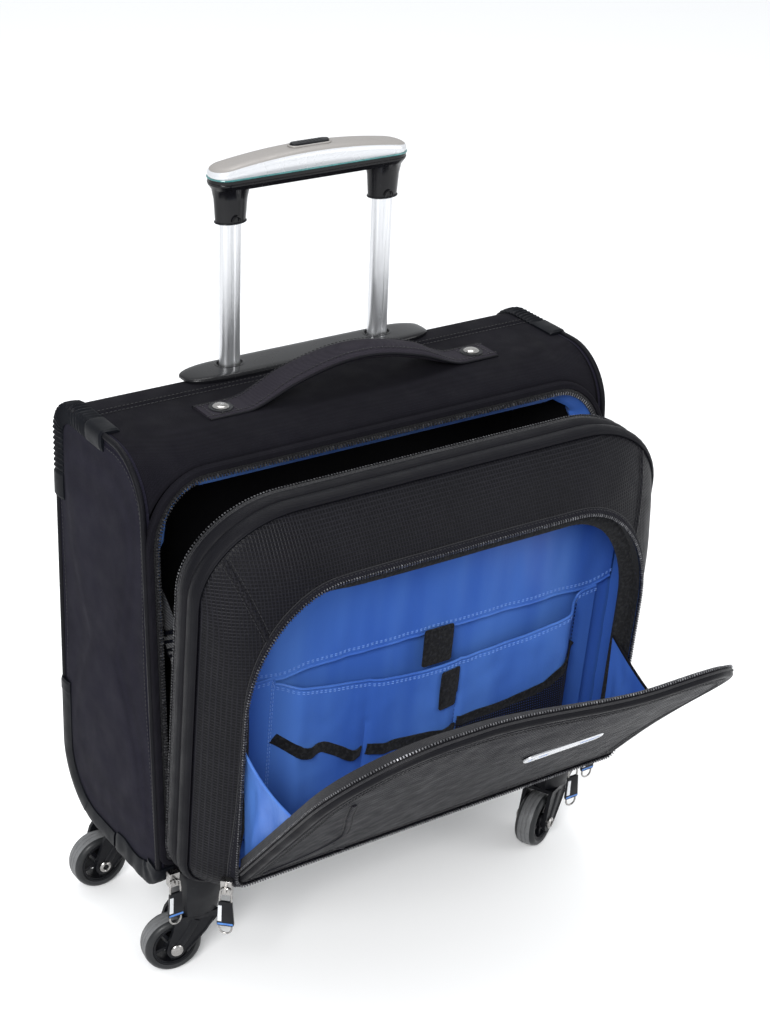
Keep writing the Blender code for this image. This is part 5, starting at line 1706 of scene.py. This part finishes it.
def make_sleeve():
    """The laptop sleeve on the pod's back: a padded rear sheet with soft side and bottom walls."""
    loop = resample(arched(0.184, 0.0125, 0.215, (0.006, 0.006), 0.008, 6), 0.006, True)

    def place(u, v, w):
        return (u, 0.0340 + w, v)

    shape = Shape()
    toward = cushion(
        shape, loop, place, 0.0036, 0.0010, 21.0, (
            0.0, 0.0004, 0.0012, 0.0024, 0.0040, 0.0056, 0.0080, 0.0130, 0.0200, 0.0350
        ), 0.0020
    )
    wall = [
        (0.1815, 0.213), (0.1815, 0.030), (0.178, 0.0195), (0.168, 0.0150), (-0.168, 0.0150),
        (-0.178, 0.0195), (-0.1815, 0.030), (-0.1815, 0.213)
    ]
    section = [
        (-0.0170, -0.0018), (0.0, -0.0026), (0.0170, -0.0018), (0.0170, 0.0018), (0.0, 0.0010),
        (-0.0170, 0.0018)
    ]
    shape.sweep([(x, 0.0178, h) for x, h in resample(wall, 0.006)], [(b, a) for a, b in section], (0, 1, 0))
    rim = [(x, 0.0362, 0.2150) for x in np.linspace(-0.178, 0.178, 60)]
    shape.tube(rim, 0.0024, (0, 0, 1), 10, look=1)
    stitches(shape, [place(u, v, 0.0038) for u, v in loop + toward * 0.0068], (0, 1, 0), 2, True)
    obj = piece(
        "sleeve_pad",
        shape,
        POD,
        "pod",
        [FIN["lining"], FIN["band"], FIN["thread"]],
        ("laptop_sleeve",),
    )


make_gusset()
make_face()
make_arch_zip()
make_back_wall()
make_curtain()
make_pocket()
make_sleeve()


# ---------------------------------------------------------------- flap, its gussets and the strap


FLAP_LINE = resample(arch_line(0.0015) - np.array((0.0, 0.0195)), 0.005, True)
FLAP_THICK, FLAP_CROWN, FLAP_SEED, FLAP_ROLL = 0.008, 0.0026, 31.0, 0.0030
FLAP_GROOVES = ((0.0068, 0.0010), (0.0140, 0.0007))


def droop(u, v):
    """How far the open flap's upper right sags outwards."""
    across = min(1.0, max(0.0, (u + 0.08) / 0.15))
    up = min(1.0, max(0.0, (v - 0.05) / 0.19))
    return 0.0125 * across * across * (3 - 2 * across) * up**1.6


def flap_skin(u, v, lift=0.0):
    """A point on the flap's outer face, in the flap's frame."""
    e = float(np.min(np.linalg.norm(FLAP_LINE - np.array((u, v)), axis=1)))
    w = pad_rise(u, v, e, FLAP_THICK, FLAP_CROWN, FLAP_SEED, FLAP_ROLL, FLAP_GROOVES)
    return (u, 0.008 - w - lift - droop(u, v), v)


def make_flap():
    def place(u, v, w):
        return (u, 0.008 - w - droop(u, v), v)

    edges = (
        0.0, 0.0004, 0.0012, 0.0024, 0.0040, 0.0054, 0.0062, 0.0068, 0.0074, 0.0082, 0.0100, 0.0120,
        0.0134
    )
    edges += (0.0140, 0.0146, 0.0158, 0.0190, 0.0240, 0.0320, 0.0430, 0.0560)
    shape = Shape()
    cushion(
        shape, FLAP_LINE, place, FLAP_THICK, FLAP_CROWN, FLAP_SEED, edges, FLAP_ROLL, 0, 2,
        FLAP_GROOVES, (0.0066, 1)
    )
    obj = piece(
        "flap_pad",
        shape,
        FLAP,
        "flap",
        [FIN["twill"], FIN["band"], FIN["satin"]],
        ("flap_panel",),
        50,
    )

    trim = Shape()
    rim = resample(arch_line(0.0012) - np.array((0.0, 0.0195)), 0.001, True)
    rim = np.roll(rim, -int(np.argmin(rim[:, 1] + 0.0001 * rim[:, 0])), 0)
    rim = rim[rim[:, 1] > 0.010]
    hang = [droop(u, v) for u, v in rim]
    teeth = [(u, 0.0070 - k, v) for (u, v), k in zip(rim, hang)]
    trim.blocks(teeth, (0, -1, 0), 0.0022, (0.0012, 0.0030, 0.0014), False, 1)
    trim.tube([(u, y - 0.0026, v) for u, y, v in teeth[::4]], 0.0009, (0, -1, 0), 8, look=0)
    run = tangents(rim, False)
    inner, curl = [], []
    for (u, v), (a, b), k in zip(rim[::3], run[::3], hang[::3]):
        lean = float(np.interp(u, [-0.17, -0.08, 0.05], [1.0, 0.65, 0.25]))
        inner.append((u - b * 0.0012, 0.0078 - k, v + a * 0.0012))
        curl.append((u - b * 0.0050, 0.0078 - k + 0.0075 * lean, v + a * 0.0050))
    far = [(u, y - 0.0012, v) for u, y, v in curl]
    base = [(u, y - 0.0012, v) for u, y, v in inner]
    trim.loft([inner, curl, far, base], ring=True, closed=False, look=0)
    for by in (0.0082, 0.0126, 0.0152):
        line = [flap_skin(u, v, 0.0002) for u, v in inset(FLAP_LINE, by)]
        stitches(trim, line, (0, -1, 0), 2, True)
    patch = [
        (-0.1480, 0.1640), (-0.1380, 0.1320), (-0.1260, 0.1020), (-0.1180, 0.0800),
        (-0.1150, 0.0687), (-0.1180, 0.0550)
    ]
    patch += [(-0.1265, 0.0395), (-0.1380, 0.0280), (-0.1500, 0.0200), (-0.1600, 0.0150)]
    line = resample(patch, 0.0015)
    for _ in range(12):
        line[1:-1] = (line[:-2] + 2 * line[1:-1] + line[2:]) / 4
    trim.tube([flap_skin(u, v, 0.0003) for u, v in line], 0.0018, (0, -1, 0), 10, look=3, flat=0.6)
    run = tangents(line, False)
    for way in (-0.0034, 0.0034):
        side = line + np.stack([-run[:, 1], run[:, 0]], 1) * way
        stitches(trim, [flap_skin(u, v, 0.0002) for u, v in side], (0, -1, 0), 2)
    foot = resample([(-0.1130, 0.0450), (-0.1080, 0.0300), (-0.0980, 0.0140), (-0.0860, 0.0040)], 0.0015)
    trim.tube([flap_skin(u, v, 0.0002) for u, v in foot], 0.0014, (0, -1, 0), 10, look=3, flat=0.6)
    piece(
        "flap_trim",
        trim,
        FLAP,
        "flap",
        [FIN["tape"], FIN["teeth"], FIN["thread"], FIN["twill"]],
        (),
        50,
    )

    badge = Shape()
    x0, z0 = 0.040, 0.142
    y0 = flap_skin(x0, z0)[1]

    def disc(half, tall, y, steps=12):
        return [(x0 + u, y, z0 + v) for u, v in oval((2 * half, 2 * tall), steps)]

    badge.loft(
        [
            disc(0.0345, 0.0052, y0 + 0.0008),
            disc(0.0360, 0.0060, y0 + 0.0002),
            disc(0.0360, 0.0060, y0 - 0.0008),
            disc(0.0352, 0.0053, y0 - 0.0014),
            disc(0.0338, 0.0041, y0 - 0.0015),
            disc(0.0334, 0.0037, y0 - 0.0010),
            disc(0.0300, 0.0010, y0 - 0.0010),
        ],
        looks=[0, 0, 0, 0, 0, 1, 1],
    )
    for at, wide in ((-0.0262, 0.0030), (0.0, 0.0150)):
        core = [
            [(x0 + at + u, y, z0 + v) for u, v in oval((2 * wide * k, 0.0058 * k), 10)]
            for y, k in ((y0 - 0.0008, 1.0), (y0 - 0.0014, 1.0), (y0 - 0.0017, 0.86), (y0 - 0.0018, 0.5))
        ]
        badge.loft(core, look=0)
    piece(
        "flap_badge_plate",
        badge,
        FLAP,
        "flap",
        [FIN["silver"], FIN["blue_enamel"]],
        ("flap_badge",),
        30,
    )


FLAP_OPEN = math.radians(36)
FLAP_INSIDE = 0.0082


def from_flap(u, v, y=FLAP_INSIDE):
    """A point of the flap's inner side, in the pod's frame, with the flap open."""
    c, s = math.cos(FLAP_OPEN), math.sin(FLAP_OPEN)
    y -= droop(u, v)
    return np.array((u, -CREST + y * c - v * s, 0.0195 + y * s + v * c))


def make_side_gussets():
    """The two blue cloth gussets that stop the flap, gathered between the arch and the flap."""
    for side, sign, arch_x, arch_h, flap_x, flap_v, sag, flat, cut in (
        ("left", -1, 0.1725, 0.135, 0.1690, 0.118, -0.0015, (0.109, 0.072), 0.0039),
        ("right", 1, 0.1620, 0.134, 0.1650, 0.100, -0.0010, (0.107, 0.067), 0.0034),
    ):
        rows = []
        for s in np.linspace(0, 1, 34):
            grow = s**0.85
            near = np.array(
                (
                    sign * (0.1660 + (arch_x - 0.1660) * s), -(CREST - 0.0070),
                    0.0270 + (arch_h - 0.0270) * grow
                )
            )
            far = from_flap(sign * (0.1640 + (flap_x - 0.1640) * s), 0.0090 + (flap_v - 0.0090) * grow)
            row = []
            for t in np.linspace(0, 1, 30):
                p = near * (1 - t) + far * t
                bow = 4 * t * (1 - t)
                long = float(np.linalg.norm(far - near))
                fold = 0.16 * long * waves(
                    t * 0.16, s * 0.05, 14, 5.0 + sign
                ) + 0.05 * long * waves(t * 0.16, s * 0.1, 36, 2.0)
                fold = (fold + 0.055 * long) * (1 - s**3)
                p = p + np.array((-sign * (sag * s + fold) * bow, 0.0, -0.004 * bow * s * s))
                row.append(tuple(p))
            rows.append(row)
        obj = solid_sheet(
            f"flap_gusset_{side}", Shape().grid(rows), 0.0007, POD, "pod", [
                FIN["satin"]
            ], offset=0.0
        )
        hem = Shape().tube(rows[-1], 0.0011, (0, 0, 1), 8)
        seam = [tuple(np.array(a) * 0.93 + np.array(b) * 0.07) for a, b in zip(rows[-1], rows[-6])]
        stitches(hem, seam, (sign, 0, 0), 1)
        edge = piece(
            f"flap_gusset_hem_{side}", hem, POD, "pod", [
                FIN["lining"] if sign > 0 else FIN["satin"], FIN["thread"]
            ]
        )
        for made in (obj, edge):
            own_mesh(made)


def make_strap():
    """The webbing strap that stops the pod, with its buckle."""
    path = [
        (-0.1885, -0.1160, 0.3230), (-0.1880, -0.1300, 0.3130), (-0.1872, -0.1420, 0.2990),
        (-0.1864, -0.1510, 0.2850)
    ]
    path += [(-0.1862, -0.1570, 0.2700), (-0.1860, -0.1610, 0.2560)]
    line = resample(path, 0.003)
    for _ in range(6):
        line[1:-1] = (line[:-2] + 2 * line[1:-1] + line[2:]) / 4
    shape = Shape().sweep(line, [(a, b) for a, b in oval((0.0200, 0.0015), 4)], (1, 0, 0))
    tail = line[len(line) // 2 :] + np.array((-0.0022, 0.0, 0.0))
    shape.sweep(tail[: len(tail) - 2], oval((0.0200, 0.0013), 4), (1, 0, 0))
    web = piece("pod_strap", shape, CASE, "case", [FIN["webbing"]], (), 40)
    at = len(line) * 5 // 9
    middle, run = line[at], tangents(line, False)[at]
    wide = np.cross(run, (1.0, 0, 0))
    wide /= np.linalg.norm(wide)
    buckle = Shape()
    ring = [
        middle + wide * a * 0.0120 + run * b * 0.0085 + np.array((-0.0016, 0, 0)) for a,
        b in ((-1, -1), (1, -1), (1, 1), (-1, 1))
    ]
    buckle.tube(resample(ring, 0.002, True), 0.0019, (1, 0, 0), 8, True)
    for b in (-0.25, 0.45):
        bar_line = [
            middle + wide * a * 0.0120 + run * b * 0.0085 + np.array((-0.0022, 0, 0)) for a in (-1, 0, 1)
        ]
        buckle.tube(bar_line, 0.0015, (1, 0, 0), 8)
    made = piece("strap_buckle", buckle, CASE, "case", [FIN["gloss"]])
    for obj in (web, made):
        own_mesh(obj)


# ---------------------------------------------------------------- zip hardware


def make_zip_hardware():
    for kind, body in (("main", "case"), ("flap", "pod")):
        for side, _ in SIDES:
            refined(f"{kind}_slider_{side}", body, FIN["nickel"], 0.0006, 30)
            hang = JOINTS[f"{kind}_pull_{side}_hang"]
            x = -Vector(hang["axis"]).normalized()
            z = Vector((0, 0, 1))
            y = z.cross(x).normalized()
            z = x.cross(y)
            place = Matrix.Translation(hang["pos_m"]) @ Matrix((x, y, z)).transposed().to_4x4()
            shape = Shape()
            bail = [
                (0.0042, 0, -0.0126), (0.0044, 0, -0.0070), (0.0036, 0, -0.0016),
                (0.0018, 0, 0.0002), (0, 0, 0.0005)
            ]
            bail += [(-a, b, c) for a, b, c in reversed(bail[:-1])]
            shape.tube(resample(bail, 0.0008), 0.00075, (0, 1, 0), 10, look=0)
            shape.tube([(-0.0046, 0, -0.0124), (0.0046, 0, -0.0124)], 0.0009, (0, 1, 0), 10, look=0)
            loops = []
            for y0, k in ((-0.00135, 0.86), (-0.0010, 0.97), (0.0, 1.0), (0.0010, 0.97), (0.00135, 0.86)):
                wide, low, high = 0.0066 * k, -0.0326 - 0.0004 * (k - 1) * 20, -0.0114 + (k - 1) * 0.004
                outline = [
                    (-0.80, high), (-0.68, high + 0.0006), (0.68, high + 0.0006), (0.80, high),
                    (1.0, -0.030), (0.96, low + 0.0008)
                ]
                outline += [(0.85, low), (-0.85, low), (-0.96, low + 0.0008), (-1.0, -0.030)]
                loops.append([(a * wide, y0, b) for a, b in outline])
            shape.loft(loops, look=1)
            for way in (-1, 1):
                plate = [(-0.0052, -0.0140), (-0.0026, -0.0140), (-0.0028, -0.0280), (-0.0058, -0.0280)]
                shape.loft(
                    [
                        [(a * k, way * y0, b) for a, b in plate] for y0,
                        k in ((0.0011, 1.0), (0.00150, 1.0), (0.00165, 0.97))
                    ],
                    look=2
                )
                stripe = [(-0.0058, -0.0296), (0.0058, -0.0296), (0.0060, -0.0312), (-0.0060, -0.0312)]
                shape.loft(
                    [[(a * k, way * y0, b) for a, b in stripe] for y0, k in ((0.0012, 1.0), (0.00150, 0.99))],
                    look=3
                )
            ring = [(-0.0046, 0, -0.0322)] + [
                (a, 0, b) for a, b in arc((0, -0.0349), 0.0046, 180, 360, 12)
            ] + [(0.0046, 0, -0.0322)]
            shape.tube(resample(ring, 0.0008), 0.00075, (0, 1, 0), 10, look=0)
            piece(
                f"{kind}_pull_tab_{side}",
                shape,
                place,
                f"{kind}_pull_{side}_swing",
                [FIN["nickel"], FIN["black"], FIN["silver"], FIN["blue_enamel"]],
                (f"{kind}_pull_{side}",),
                35,
            )


make_flap()
make_side_gussets()
make_strap()
make_zip_hardware()
